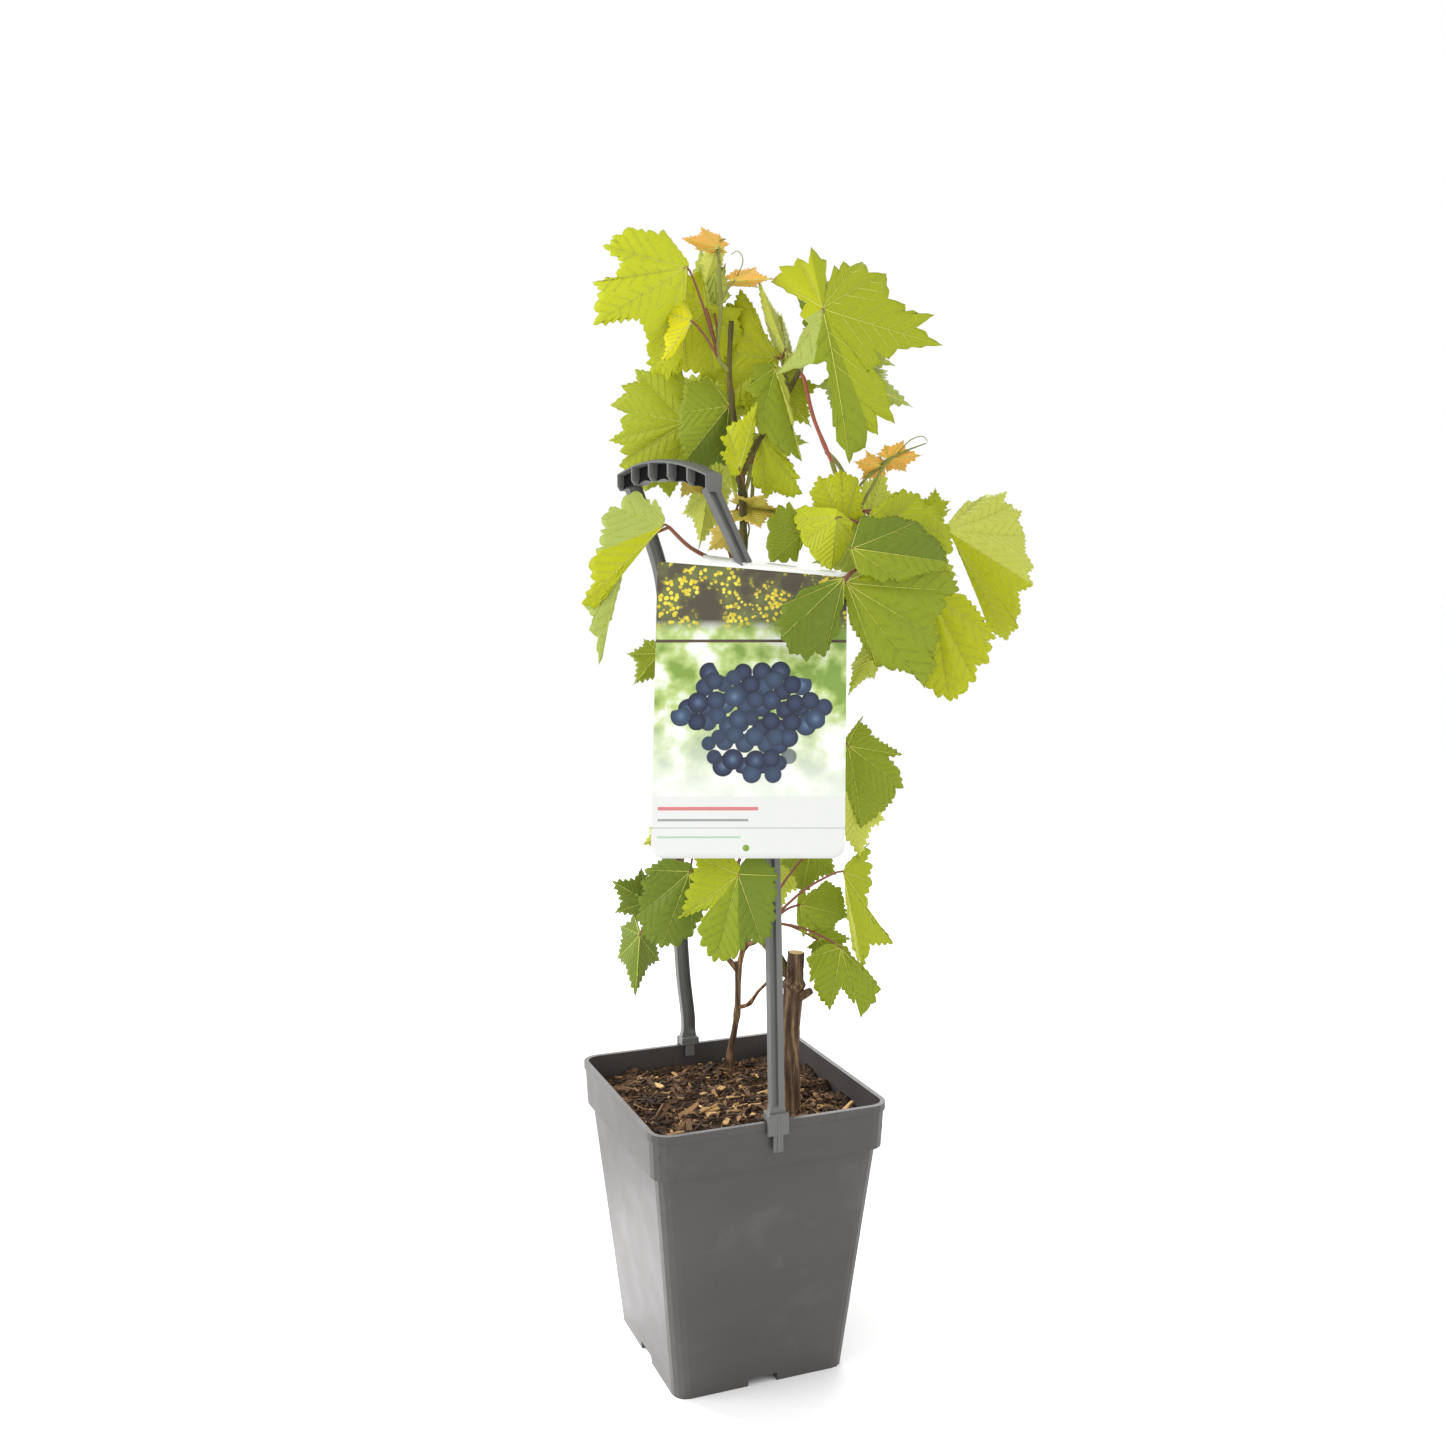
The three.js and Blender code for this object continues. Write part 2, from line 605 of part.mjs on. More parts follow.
// Masses of foliage. Each leaf row: place on the stem, junction x z depth, tip x z depth, turn about the midrib,
// fold of the left and right half, bend of the midrib, how far the lobes of each half spread, and how far the
// bays between them are filled
const MASSES = {
  foliage_top_left: {
    stem: [[0, 604, 0], [-6.5, 612, -1], [-5, 640, -2], [-6, 667, -3]],
    leaves: [
      [0.3, -26, 664, -10, -80, 633, -26, 0, 45, 40, 0.6, 1, 0.95],
      [0.32, -22, 633, -14, -43, 607, -16, 0, 66, 66, 0.3],
      [0.35, -14, 640, 13, -47, 602, 18, 0, 8, 8, 0.2, 0.9, 0.9, 0.5],
      [1, -8, 674, 2, -14, 655, 4, 0, 60, 60, 0.3],
      [1, -6, 675, -6, -26, 680, -12, 0, 72, 55, 0.3],
      [0.72, 3, 656, -5, 25, 657, -9, 0, 62, 76, 0.3],
      [0.5, -10, 640, 22, -40, 652, 48, 180, 15, 15, 0.4],
    ],
  },
  foliage_top_centre: {
    stem: [[35, 592, 5], [33, 602, 9], [31, 611, 12]],
    leaves: [
      [0.9, 28, 612, 18, -17, 617, 34, 0, 10, 5, 0.4, 1, 1, 0.3],
      [1, 33, 616, 6, 18, 654, 0, 0, 74, 74, 0.2],
      [0.4, 27, 606, 2, 43, 552, -8, 0, -74, -35, 0.3, 0.8, 0.8],
      [0.3, 30, 594, 14, 47, 573, 14, 0, 10, 40, 0.3],
    ],
  },
  foliage_top_right: {
    stem: [[42, 603, 6], [46, 622, -2], [54, 639, -13]],
    leaves: [
      [1, 55, 640, -15, 71, 551, -24, -45, -18, -17, 0.5, 1.4, 0.95, -0.2],
      [0.3, 66, 604, 10, 107, 584, 14, 0, 62, 40, 0.3, 0.8, 0.8],
      [0.4, 58, 620, 14, 88, 644, 42, 180, 15, 15, 0.4],
    ],
  },
  foliage_middle_left: {
    stem: [[-19.5, 553, 16], [-20, 566, 17], [-14, 574, 18]],
    leaves: [
      [1, -18, 572, 24, -72, 568, 54, 0, 5, 10, 0.4, 1, 1, 0.4],
      [1, 0, 584, 9, -26, 552, 13, 0, 30, 20, 0.4, 0.75, 0.75, 0.5],
      [0.1, -12, 536, 26, -18, 501, 26, 0, 50, 60, 0.4],
      [0.1, -18, 545, 24, -29, 530, 24, 0, 40, 40, 0.2],
    ],
  },
  foliage_middle_centre: {
    stem: [[8.3, 532, 2], [11, 538, 6], [13, 550, 7]],
    leaves: [
      [0.2, 5, 545, -8, 17, 585, -12, 0, 50, 40, 0.3],
      [0.9, 14, 562, 9, 42, 538, 3, 0, 10, 15, 0.3, 0.9, 0.9],
      [0.3, 11, 524, 8, 36, 521, 2, 0, -62, -52, 0.3],
      [0.5, 0, 510, 9, -12, 499, 9, 0, 15, 35, 0.2],
    ],
  },
  foliage_left: {
    stem: [[8.8, 478, 4], [0, 486, -12], [-10, 493, -20], [-24, 501, -26], [-36, 512.5, -30]],
    leaves: [
      [1, -38, 514, -31, -80, 429, -40, 60, 160, -2, 0.8, 0.7, 0.75, 0.5],
    ],
  },
  foliage_right: {
    stem: [[61, 551, -1.5], [66, 538, -3], [77, 521, -8], [80, 504, -28], [76, 487, -54]],
    leaves: [
      [0.42, 64, 508, -13, 61, 546, -10, 0, 20, 20, 0.3, 0.85, 0.85],
      [0.6, 50, 498, -24, 74, 513, -30, 0, 20, 40, 0.5],
      [0.5, 44, 504, -14, 24, 505, -16, 0, 15, 15, 0.4],
      [0.38, 90, 548, -4, 75, 551, -8, 0, 35, 50, 0.2],
      [0.38, 95, 553, -2, 114, 555, -4, 0, 45, 50, 0.2],
      [0.95, 73, 485, -48, 130, 490, -38, 0, 25, 55, 0.4, 1, 1, 0.3],
      [0.55, 96, 494, -20, 106, 537, -12, 0, 15, 15, 0.3],
      [1, 71, 480, -58, 116, 420, -50, 0, 20, 42, 0.5, 1, 1, 0.3],
      [1, 69, 482, -60, 31, 446, -74, 0, 15, 55, 0.2, 1, 0.7],
      [0.55, 130, 511, -4, 172, 438, -12, 0, 40, 5, 0.4, 0.88, 1, 0.8],
      [0.6, 121, 470, -22, 137, 409, -26, 0, 5, 25, 0.3, 0.9, 1, 0.5],
      [0.5, 122, 522, 6, 123, 535, 6, 0, 10, 10, 0.2],
      [0.95, 87, 438, -30, 73, 413, -30, 0, 66, 66, 0.2],
    ],
  },
  foliage_right_low: {
    stem: [[9.4, 410, 6], [40, 402, -14], [66, 390, -34]],
    leaves: [
      [1, 73, 381, -42, 88, 324, -48, 0, 36, 45, 0.4, 0.9, 1, 0.5],
      [0.9, 74, 348, -24, 80, 311, -26, 0, 40, 50, 0.3],
    ],
  },
  foliage_low_right: {
    stem: [[17, 271, 0], [24, 272, -8], [31, 276, -14]],
    leaves: [
      [0.7, 69, 303, -26, 102, 256, -20, 0, 72, 62, 0.3],
      [0.7, 71, 300, -34, 84, 240, -38, 0, 72, 72, 0.2],
      [0.2, 50, 316, 4, 45, 288, 6, 0, 25, 25, 0.2],
      [1, 44, 282, -14, 73, 272, -20, 0, 10, 20, 0.4],
      [0.3, 69, 255, -26, 80, 210, -30, 0, 15, 15, 0.3, 0.6, 0.65],
      [0.3, 55, 260, 0, 75, 261, 0, 0, 40, 25, 0.3],
    ],
  },
  foliage_low_centre: {
    stem: [[13.5, 322, 4.5], [9, 318, -30], [6, 309, -66]],
    leaves: [
      [1, 6, 301, -75, -8, 246, -77, 0, -20, 5, 0.3, 0.8, 0.75, 0.2],
    ],
  },
  foliage_low_left: {
    stem: [[12, 345, 5.5], [-4, 338, -10], [-20, 322, -30]],
    leaves: [
      [1, -24, 303, -44, -59, 268, -50, 0, 30, 45, 0.4, 1, 0.85, 0.5],
      [0.9, -50, 284, -26, -72, 297, -28, 0, 30, 30, 0.3],
      [0.9, -55, 263, -32, -58, 225, -36, 0, 60, 58, 0.3],
      [0.6, -40, 326, -10, -52, 320, -10, 0, 30, 30, 0.2],
    ],
  },
  foliage_middle_back: {
    stem: [[6.4, 425, 22.5], [2, 428, 34], [-4, 432, 42]],
    leaves: [
      [0.5, -42, 437, 26, -57, 419, 20, 0, 30, 30, 0.3],
      [1, -8, 434, 46, -26, 462, 70, 180, 15, 15, 0.4],
      [0.8, 6, 426, 46, 32, 446, 72, 180, 15, 15, 0.4],
      [0.4, 14, 404, 40, 44, 384, 54, 180, 15, 15, 0.4],
    ],
  },
  foliage_upper_back: {
    stem: [[8.2, 514, 3], [12, 520, 24], [14, 540, 38], [10, 566, 46]],
    leaves: [
      [0.9, 4, 582, 48, -28, 600, 68, 180, 12, 12, 0.4],
      [1, 16, 580, 48, 34, 608, 68, 180, 12, 12, 0.4],
      [0.8, 18, 566, 46, 32, 540, 66, 180, 12, 12, 0.4],
      [0.7, -2, 560, 48, -22, 540, 74, 180, 12, 12, 0.4],
    ],
  },
  foliage_right_back: {
    stem: [[58, 557, -0.5], [66, 548, 14], [78, 524, 24], [90, 506, 28]],
    leaves: [
      [1, 96, 502, 34, 136, 484, 52, 180, 12, 12, 0.4],
      [0.9, 86, 506, 36, 76, 464, 52, 180, 12, 12, 0.4],
      [0.7, 84, 520, 34, 108, 526, 60, 180, 12, 12, 0.4],
    ],
  },
  foliage_low_back: {
    stem: [[14.5, 304, 34], [8, 302, 44], [0, 300, 50]],
    leaves: [
      [1, -2, 300, 52, -18, 278, 66, 180, 25, 25, 0.4],
      [0.7, 8, 296, 54, 12, 268, 72, 180, 15, 15, 0.4],
      [0.4, 24, 306, 40, 52, 296, 58, 180, 15, 15, 0.4],
    ],
  },
};

// The model

const model = new THREE.Group();
const plant = new THREE.Group();
plant.rotation.z = -POT_TURN;
model.add(plant);

function add(group, name, manifold, finish) {
  const mesh = new THREE.Mesh(geometryOf(manifold), finish);
  mesh.name = name;
  group.add(mesh);
}

const turnDegrees = THREE.MathUtils.radToDeg(POT_TURN);
const legClearances = [makeLeg(FRONT_LEG, -1, GAP), makeLeg(BACK_LEG, 1, GAP)];
const handleClearance = fuse([...legClearances, makeGrip(GAP)]);
const inTheWay = [handleClearance.add(makeCard(GAP)).rotate([0, 0, turnDegrees])];
const feet = [];
for (const [name, { route, radii, sides, steps, finish }] of Object.entries(LIMBS)) {
  const points = route.map(sight);
  let piece = limb(points, radii, sides, steps);
  const clearance = limb(points, radii, sides, steps, GAP);
  if (ROOTED.includes(name)) {
    feet.push(clearance);
  } else {
    piece = largest(piece.subtract(fuse(inTheWay.slice(1))));
  }
  inTheWay.push(clearance);
  add(plant, name, piece, finish);
}

let taken = fuse(inTheWay);
for (const [name, mass] of Object.entries(MASSES)) {
  add(plant, name, largest(makeMass(mass).subtract(taken)), leafGreen);
  taken = taken.add(makeMass(mass, GAP));
}

add(model, 'pot', makePot(), potPlastic);
add(model, 'soil', makeSoil().subtract(fuse(feet).rotate([0, 0, -turnDegrees])), soilBrown);
add(model, 'handle', makeHandle(), handlePlastic);
add(model, 'label_card', largest(makeCard().subtract(legClearances[0])), cardPaper);

export default model;
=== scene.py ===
import math
import random

import bpy
import numpy as np
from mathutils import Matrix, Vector, noise


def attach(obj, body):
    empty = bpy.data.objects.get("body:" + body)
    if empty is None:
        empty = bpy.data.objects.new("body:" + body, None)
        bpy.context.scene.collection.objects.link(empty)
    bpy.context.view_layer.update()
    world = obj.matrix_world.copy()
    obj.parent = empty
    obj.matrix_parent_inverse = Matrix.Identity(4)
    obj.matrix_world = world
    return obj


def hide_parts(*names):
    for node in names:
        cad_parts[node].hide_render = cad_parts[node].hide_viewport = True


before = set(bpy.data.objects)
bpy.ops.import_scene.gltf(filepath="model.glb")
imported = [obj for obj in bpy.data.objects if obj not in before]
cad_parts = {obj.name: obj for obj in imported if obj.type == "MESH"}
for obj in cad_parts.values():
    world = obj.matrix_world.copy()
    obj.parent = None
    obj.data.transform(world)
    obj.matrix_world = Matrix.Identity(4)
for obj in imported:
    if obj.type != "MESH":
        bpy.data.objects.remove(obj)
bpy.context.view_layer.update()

# The viewer and the turn of the pot under the plant
POT_TURN = math.radians(21.53)
VIEWPOINT = np.array([-4.0, -900.0, 496.5])
VIEW_PITCH = math.radians(6.44)
LENS = 37.17

# Driving dimensions of the pot, the soil and the handle
RIM_HALF = 75
POT_HEIGHT = 171
SOIL_LEVEL = 157
SOIL_HALF = 70.6
GAP = 0.3
LEG_WIDTH = 8.5
LEG_THICKNESS = 4.5
FOOT_WIDTH = 12
CLIP_DROP = 8
TONGUE_DROP = 18
TONGUE_WIDTH = 6
INNER_TONGUE_Y = 71.5
GRIP_WIDTH = 17
GRIP_HEIGHT = 13
FINGER_GROOVES = 5

# Driving dimensions of a leaf, as shares of its length from petiole to tip: its lobes and bays by angle
# and reach, the rings of its mesh, the wave of its edge, the pitch and depth of its teeth, how far its tips
# are sharpened, a tooth from root to root, its ribs and its swelling
LOBES = [(0, 1), (55, 0.82), (103, 0.6), (146, 0.44)]
SINUSES = [(31, 0.62), (80, 0.5), (126, 0.38), (180, 0.06)]
BLADE_CENTRE = np.array([0.0, 0.03])
BLADE_RINGS = [0.14, 0.28, 0.41, 0.53, 0.64, 0.74, 0.83, 0.91, 1.0]
TYPICAL_LEAF = {"wave": 0.04, "teeth": 0.1, "depth": 0.9, "sharpen": 0.6}
DRAWN_LEAF = {"wave": 0.025, "teeth": 0.075, "depth": 0.8, "sharpen": 0.1}
TOOTH_SPREAD, LARGE_TOOTH, SMALL_TOOTH = (0.7, 1.15), 1.15, 0.85
SECTION_STEPS = 16
RISING_TOOTH = [(0, -0.1), (0.2, 0.24), (0.42, 0.5), (0.74, 0.2)]
FALLING_TOOTH = [(0, -0.1), (0.26, 0.2), (0.58, 0.5), (0.8, 0.24)]
SIDE_RIBS = 7
RIB_START, RIB_SPAN = 0.16, 0.8
RIB_END = 0.97
RIB_LEAN = math.radians(45)
RIB_LONGEST, RIB_MARGIN, RIB_STEP = 0.6, 0.04, 0.02
MAIN_RIB, SIDE_RIB = (0.6, 0.4), (0.28, 0.22)
QUILT, RIPPLE = 0.03, 0.002
BAY_ROUND = 0.06

# The same in millimetres
BLADE_THICKNESS = 0.4
VEIN_PROUD = 0.4
PETIOLE_RADIUS = 0.75
RIB_WIDTH, RIB_GROWTH = 0.45, 1 / 280
MAIN_RIB_END, SIDE_RIB_END = 0.12, 0.08
SHORT_LEAF, USUAL_LEAF = 24, 52


# Frames and curves

def sight(points):
    """Points [x, z, depth] that line up, from the viewpoint, with (x, z) on the plant's middle plane."""
    points = np.asarray(points, float)
    k = 1 + points[..., 2] / -VIEWPOINT[1]
    x = VIEWPOINT[0] + (points[..., 0] - VIEWPOINT[0]) * k
    z = VIEWPOINT[2] + (points[..., 1] - VIEWPOINT[2]) * k
    return np.stack([x, points[..., 2], z], -1)


def from_view(points):
    """Turns plant coordinates into the pot's own frame."""
    points = np.asarray(points, float)
    c, s = math.cos(POT_TURN), math.sin(POT_TURN)
    x, y, z = points[..., 0], points[..., 1], points[..., 2]
    return np.stack([x * c + y * s, y * c - x * s, z], -1)


def unit(v):
    return v / np.linalg.norm(v)


def curve(points, count):
    """Points spread along a centripetal Catmull-Rom curve through the given ones."""
    pts = np.asarray(points, float)
    ext = np.vstack([2 * pts[0] - pts[1], pts, 2 * pts[-1] - pts[-2]])
    out = []
    for t in np.linspace(0, len(pts) - 1, count):
        i = min(int(t), len(pts) - 2)
        w = t - i
        p0, p1, p2, p3 = ext[i:i + 4]
        d0, d1, d2 = (math.sqrt(np.linalg.norm(b - a)) for a, b in ((p0, p1), (p1, p2), (p2, p3)))
        m1 = ((p1 - p0) / d0 - (p2 - p0) / (d0 + d1) + (p2 - p1) / d1) * d1
        m2 = ((p2 - p1) / d1 - (p3 - p1) / (d1 + d2) + (p3 - p2) / d2) * d1
        square, cube = 3 * (p2 - p1) - 2 * m1 - m2, 2 * (p1 - p2) + m1 + m2
        out.append(p1 + m1 * w + square * w ** 2 + cube * w ** 3)
    return np.array(out)


def along(values, t):
    """Values spread evenly over 0 to 1, read at t."""
    return np.interp(t, np.linspace(0, 1, len(values)), values)


# Meshes

class Build:
    """Vertices, faces and each face's material, gathered for one piece."""

    def __init__(self):
        self.points = []
        self.faces = []
        self.finishes = []
        self.count = 0

    def add(self, points, faces, finish=0):
        self.points.append(np.asarray(points, float))
        self.faces += [tuple(self.count + i for i in face) for face in faces]
        self.finishes += [finish] * len(faces) if isinstance(finish, int) else finish
        self.count += len(points)

    def piece(self, name, materials, stands_for=(), in_view=True, smooth=True):
        """Makes the object, in metres and in the row frame, riding on the root body."""
        points = np.vstack(self.points)
        points = (from_view(points) if in_view else points) / 1000
        mesh = bpy.data.meshes.new(name)
        mesh.from_pydata(points.tolist(), [], self.faces)
        for material in materials:
            mesh.materials.append(material)
        mesh.polygons.foreach_set("material_index", self.finishes)
        mesh.polygons.foreach_set("use_smooth", [smooth] * len(self.faces))
        mesh.validate()
        mesh.update()
        obj = bpy.data.objects.new(name, mesh)
        bpy.context.scene.collection.objects.link(obj)
        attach(obj, "root")
        if stands_for:
            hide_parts(*stands_for)
        return obj


def sheet(build, top, bottom, faces, border, finishes):
    """A closed sheet: its upper faces, the same turned over below, and a rim along its border."""
    total = len(top)
    under = [tuple(total + i for i in reversed(face)) for face in faces]
    rim = [(a, a + total, b + total, b) for a, b in zip(border, border[1:] + border[:1])]
    build.add(np.vstack([top, bottom]), faces + under + rim, finishes)


def loft(build, rings, finish=0):
    """A closed stack of rings of equal point count, each end closed by a fan."""
    sides = len(rings[0])
    points = np.vstack([*rings, rings[0].mean(0), rings[-1].mean(0)])
    faces = []
    for level in range(len(rings) - 1):
        for i in range(sides):
            a, b = level * sides + i, level * sides + (i + 1) % sides
            faces.append((a, b, b + sides, a + sides))
    low, top = len(rings) * sides, (len(rings) - 1) * sides
    for i in range(sides):
        j = (i + 1) % sides
        faces.append((low, j, i))
        faces.append((low + 1, top + i, top + j))
    build.add(points, faces, finish)


def limb(build, points, radii, sides, steps, finish=0, relief=None):
    """A tapering limb along a curve. relief(t, angle, centre) scales its radius."""
    centres = curve(points, steps + 1)
    tangents = np.gradient(centres, axis=0)
    across = unit(np.cross(tangents[0], [0.31, 0.92, 0.24]))
    rings = []
    for step, (centre, tangent) in enumerate(zip(centres, tangents)):
        tangent = unit(tangent)
        across = unit(across - tangent * across.dot(tangent))
        up = np.cross(tangent, across)
        t = step / steps
        ring = []
        for i in range(sides):
            angle = 2 * math.pi * i / sides
            radius = along(radii, t) * (relief(t, angle, centre) if relief else 1)
            ring.append(centre + radius * (across * math.cos(angle) + up * math.sin(angle)))
        rings.append(np.array(ring))
    loft(build, rings, finish)


# Materials

def srgb(r, g, b):
    """A linear base colour from 0 to 255 values."""
    def linear(c):
        c /= 255
        return c / 12.92 if c <= 0.04045 else ((c + 0.055) / 1.055) ** 2.4
    return (linear(r), linear(g), linear(b), 1)


class Nodes:
    """Short ways to make and join a material's nodes."""

    def __init__(self, name, roughness, specular=0.5):
        self.material = bpy.data.materials.new(name)
        self.material.use_nodes = True
        self.tree = self.material.node_tree
        self.shader = self.tree.nodes["Principled BSDF"]
        self.shader.inputs["Roughness"].default_value = roughness
        self.shader.inputs["Specular IOR Level"].default_value = specular

    def node(self, kind, **settings):
        made = self.tree.nodes.new(kind)
        for key, value in settings.items():
            if key in made.inputs:
                made.inputs[key].default_value = value
            else:
                setattr(made, key, value)
        return made

    def join(self, out, into):
        self.tree.links.new(out, into)

    def feed(self, sockets, values):
        for socket, value in zip(sockets, values):
            if isinstance(value, (int, float, tuple)):
                socket.default_value = value
            else:
                self.join(value, socket)

    def math(self, operation, a, b=0.0):
        made = self.node("ShaderNodeMath", operation=operation)
        self.feed(made.inputs, (a, b))
        return made.outputs[0]

    def mix(self, share, a, b):
        made = self.node("ShaderNodeMix", data_type="RGBA")
        self.feed((made.inputs[0], made.inputs[6], made.inputs[7]), (share, a, b))
        return made.outputs[2]

    def noise(self, scale, detail=4.0, stretch=None):
        where = self.node("ShaderNodeTexCoord").outputs["Object"]
        if stretch:
            mapping = self.node("ShaderNodeMapping", Scale=stretch)
            self.join(where, mapping.inputs["Vector"])
            where = mapping.outputs["Vector"]
        made = self.node("ShaderNodeTexNoise", Scale=scale, Detail=detail)
        self.join(where, made.inputs["Vector"])
        return made.outputs["Fac"]

    def ramp(self, value, *stops):
        made = self.node("ShaderNodeValToRGB")
        while len(made.color_ramp.elements) < len(stops):
            made.color_ramp.elements.new(0.5)
        for element, (place, colour) in zip(made.color_ramp.elements, stops):
            element.position, element.color = place, colour
        self.join(value, made.inputs["Fac"])
        return made.outputs["Color"]

    def colour(self, out):
        self.join(out, self.shader.inputs["Base Color"])

    def bump(self, height, strength, distance):
        made = self.node("ShaderNodeBump", Strength=strength, Distance=distance)
        self.join(height, made.inputs["Height"])
        self.join(made.outputs["Normal"], self.shader.inputs["Normal"])

    def rough(self, value, low, high):
        made = self.node("ShaderNodeMapRange", **{"To Min": low, "To Max": high})
        self.join(value, made.inputs["Value"])
        self.join(made.outputs["Result"], self.shader.inputs["Roughness"])


def shade(colour, factor):
    return (*(min(1, c * factor) for c in colour[:3]), 1)


def mottled(name, colour, roughness, grain=900, spread=0.1, bump=0.15, distance=0.0002, specular=0.5):
    """A material whose colour and roughness vary a little at one grain, with a fine relief."""
    nodes = Nodes(name, roughness, specular)
    value = nodes.noise(grain)
    nodes.colour(nodes.ramp(value, (0.3, shade(colour, 1 - spread)), (0.7, shade(colour, 1 + spread))))
    nodes.bump(value, bump, distance)
    nodes.rough(value, roughness - 0.06, roughness + 0.06)
    return nodes.material


# Leaf greens: light, bright, fresh, mid and deep step from lit to shaded, so they are painted light and
# painted shade on the leaves as well as the leaves' own differences of tone. grey, pale, yellow, golden and
# orange are the leaves' own colours.
LEAF_COLOURS = {
    "light": (180, 188, 30),
    "bright": (168, 174, 16),
    "fresh": (150, 160, 18),
    "mid": (128, 142, 24),
    "deep": (100, 118, 26),
    "grey": (158, 171, 82),
    "pale": (182, 187, 74),
    "yellow": (208, 202, 10),
    "golden": (190, 168, 74),
    "orange": (220, 168, 74),
}
LEAF_KINDS = list(LEAF_COLOURS)
# The darkest greens, which paint the shaded parts of leaves
DARK_KINDS = ["mid", "deep"]
UNDERSIDE = (182, 190, 108)


def leaf_materials():
    """The upper and under sides of each kind of leaf, then the veins, the petioles and the green stems."""
    made = []
    for kind, colour in LEAF_COLOURS.items():
        made.append(mottled(f"leaf_{kind}", srgb(*colour), 0.5, grain=700, spread=0.06, specular=0.25))
    for kind, colour in LEAF_COLOURS.items():
        under = [0.5 * a + 0.5 * b for a, b in zip(colour, UNDERSIDE)]
        made.append(mottled(f"underside_{kind}", srgb(*under), 0.7, grain=1200, spread=0.05, specular=0.25))
    made.append(mottled("vein", srgb(196, 200, 88), 0.55, spread=0.05))
    made.append(mottled("petiole", srgb(120, 68, 44), 0.5, spread=0.14))
    made.append(mottled("green_stem", srgb(120, 122, 44), 0.5, spread=0.14))
    return made


VEIN_FINISH = 2 * len(LEAF_KINDS)
PETIOLE_FINISH = VEIN_FINISH + 1
STEM_FINISH = VEIN_FINISH + 2


def bark_material(name, dark, light, tan, bands):
    """Stringy bark: long fibres, with paler ridges and dark cracks."""
    nodes = Nodes(name, 0.85, 0.3)
    fibres = nodes.noise(420, 6, stretch=(1, 1, 0.09))
    patches = nodes.noise(bands, 3)
    base = nodes.ramp(fibres, (0.32, dark), (0.5, light), (0.68, tan))
    nodes.colour(nodes.mix(nodes.math("MULTIPLY", patches, 0.5), base, dark))
    nodes.bump(fibres, 0.7, 0.0006)
    nodes.rough(patches, 0.75, 0.95)
    return nodes.material


def plastic_material(name, colour, scuff, roughness):
    """Recycled moulded plastic: faint flow marks, fine pitting, and pale dust and scuffs."""
    nodes = Nodes(name, roughness, 0.45)
    flow = nodes.noise(9, 3, stretch=(1, 1, 2.2))
    pits = nodes.noise(1500, 2)
    dust = nodes.noise(38, 6)
    base = nodes.ramp(flow, (0.35, shade(colour, 0.92)), (0.65, shade(colour, 1.08)))
    dusty = nodes.ramp(dust, (0.56, (0, 0, 0, 1)), (0.8, (1, 1, 1, 1)))
    nodes.colour(nodes.mix(nodes.math("MULTIPLY", dusty, 0.1), base, scuff))
    nodes.bump(pits, 0.12, 0.0002)
    nodes.rough(dust, roughness - 0.08, roughness + 0.12)
    return nodes.material


# Leaves

def typical_half(spread, fill):
    """Half of a typical leaf: tips and bays in turn, each across, along and 1 where a main rib ends."""
    keys = []
    for (tip, tip_reach), (bay, bay_reach), following in zip(LOBES, SINUSES, [*LOBES[1:], None]):
        if following:
            bay_reach += (following[1] - bay_reach) * fill
        for angle, far, main in ((tip, tip_reach, 1), (bay, bay_reach, 0)):
            turned = math.radians(min(angle * spread, 160 + angle / 15))
            keys.append((math.sin(turned) * far, math.cos(turned) * far, main))
    return keys


def drawn_half(points, row, sign, facing):
    """Half of a leaf from bays and tips [x, z, main] as seen, with the foreshortening taken out."""
    along_x, along_z = row[5] - row[2], row[6] - row[3]
    size = along_x ** 2 + along_z ** 2
    keys = [(0.0, 1.0, 1)]
    for x, z, *main in points:
        x, z = x - row[2], z - row[3]
        across = sign * (x * along_z - z * along_x) / size / max(0.3, abs(facing))
        keys.append((across, (x * along_x + z * along_z) / size, main[0] if main else 0))
    return keys


def toothed_half(keys, leaf, pitch, rng):
    """Half of the outline from tip to petiole: smooth points, and how far a tooth moves each of them."""
    smooth, teeth = [], []
    for section, (start, end) in enumerate(zip(keys, keys[1:])):
        start, end = np.array(start[:2]), np.array(end[:2])
        rising, last = section % 2 == 0, section == len(keys) - 2
        bay, tip = (end, start) if rising else (start, end)
        level = tip - unit(bay) * (tip - bay).dot(unit(bay))
        round_off = 0 if last else BAY_ROUND
        control = (start + end) / 2 * (1 - round_off) + level * round_off
        t = np.linspace(0, 1, SECTION_STEPS)[:, None]
        dense = start * (1 - t) ** 2 + control * 2 * t * (1 - t) + end * t ** 2
        lengths = np.concatenate([[0], np.cumsum(np.linalg.norm(np.diff(dense, axis=0), axis=1))])
        count = max(1, round(lengths[-1] / pitch))
        size = leaf["depth"] * (0.3 if last else 1)
        for k in range(count):
            height = size * rng.uniform(*TOOTH_SPREAD) * (LARGE_TOOTH if k % 2 else SMALL_TOOTH)
            if k == (0 if rising else count - 1):
                height *= 0.5
            for step, out in RISING_TOOTH if rising else FALLING_TOOTH:
                share = k + step
                spot = lengths[-1] * share / count
                spots = [spot, spot + 0.01, spot - 0.01]
                point, ahead, behind = np.stack([np.interp(spots, lengths, side) for side in dense.T], -1)
                tangent = unit(ahead - behind)
                outward, move = np.array([-tangent[1], tangent[0]]), pitch * out * height
                if share == 0:
                    outward, move = unit(point), pitch * (leaf["sharpen"] if rising else -0.1 * size)
                smooth.append(point)
                teeth.append(outward * move)
    smooth.append(np.array(keys[-1][:2]))
    teeth.append(np.zeros(2))
    return np.array(smooth), np.array(teeth)


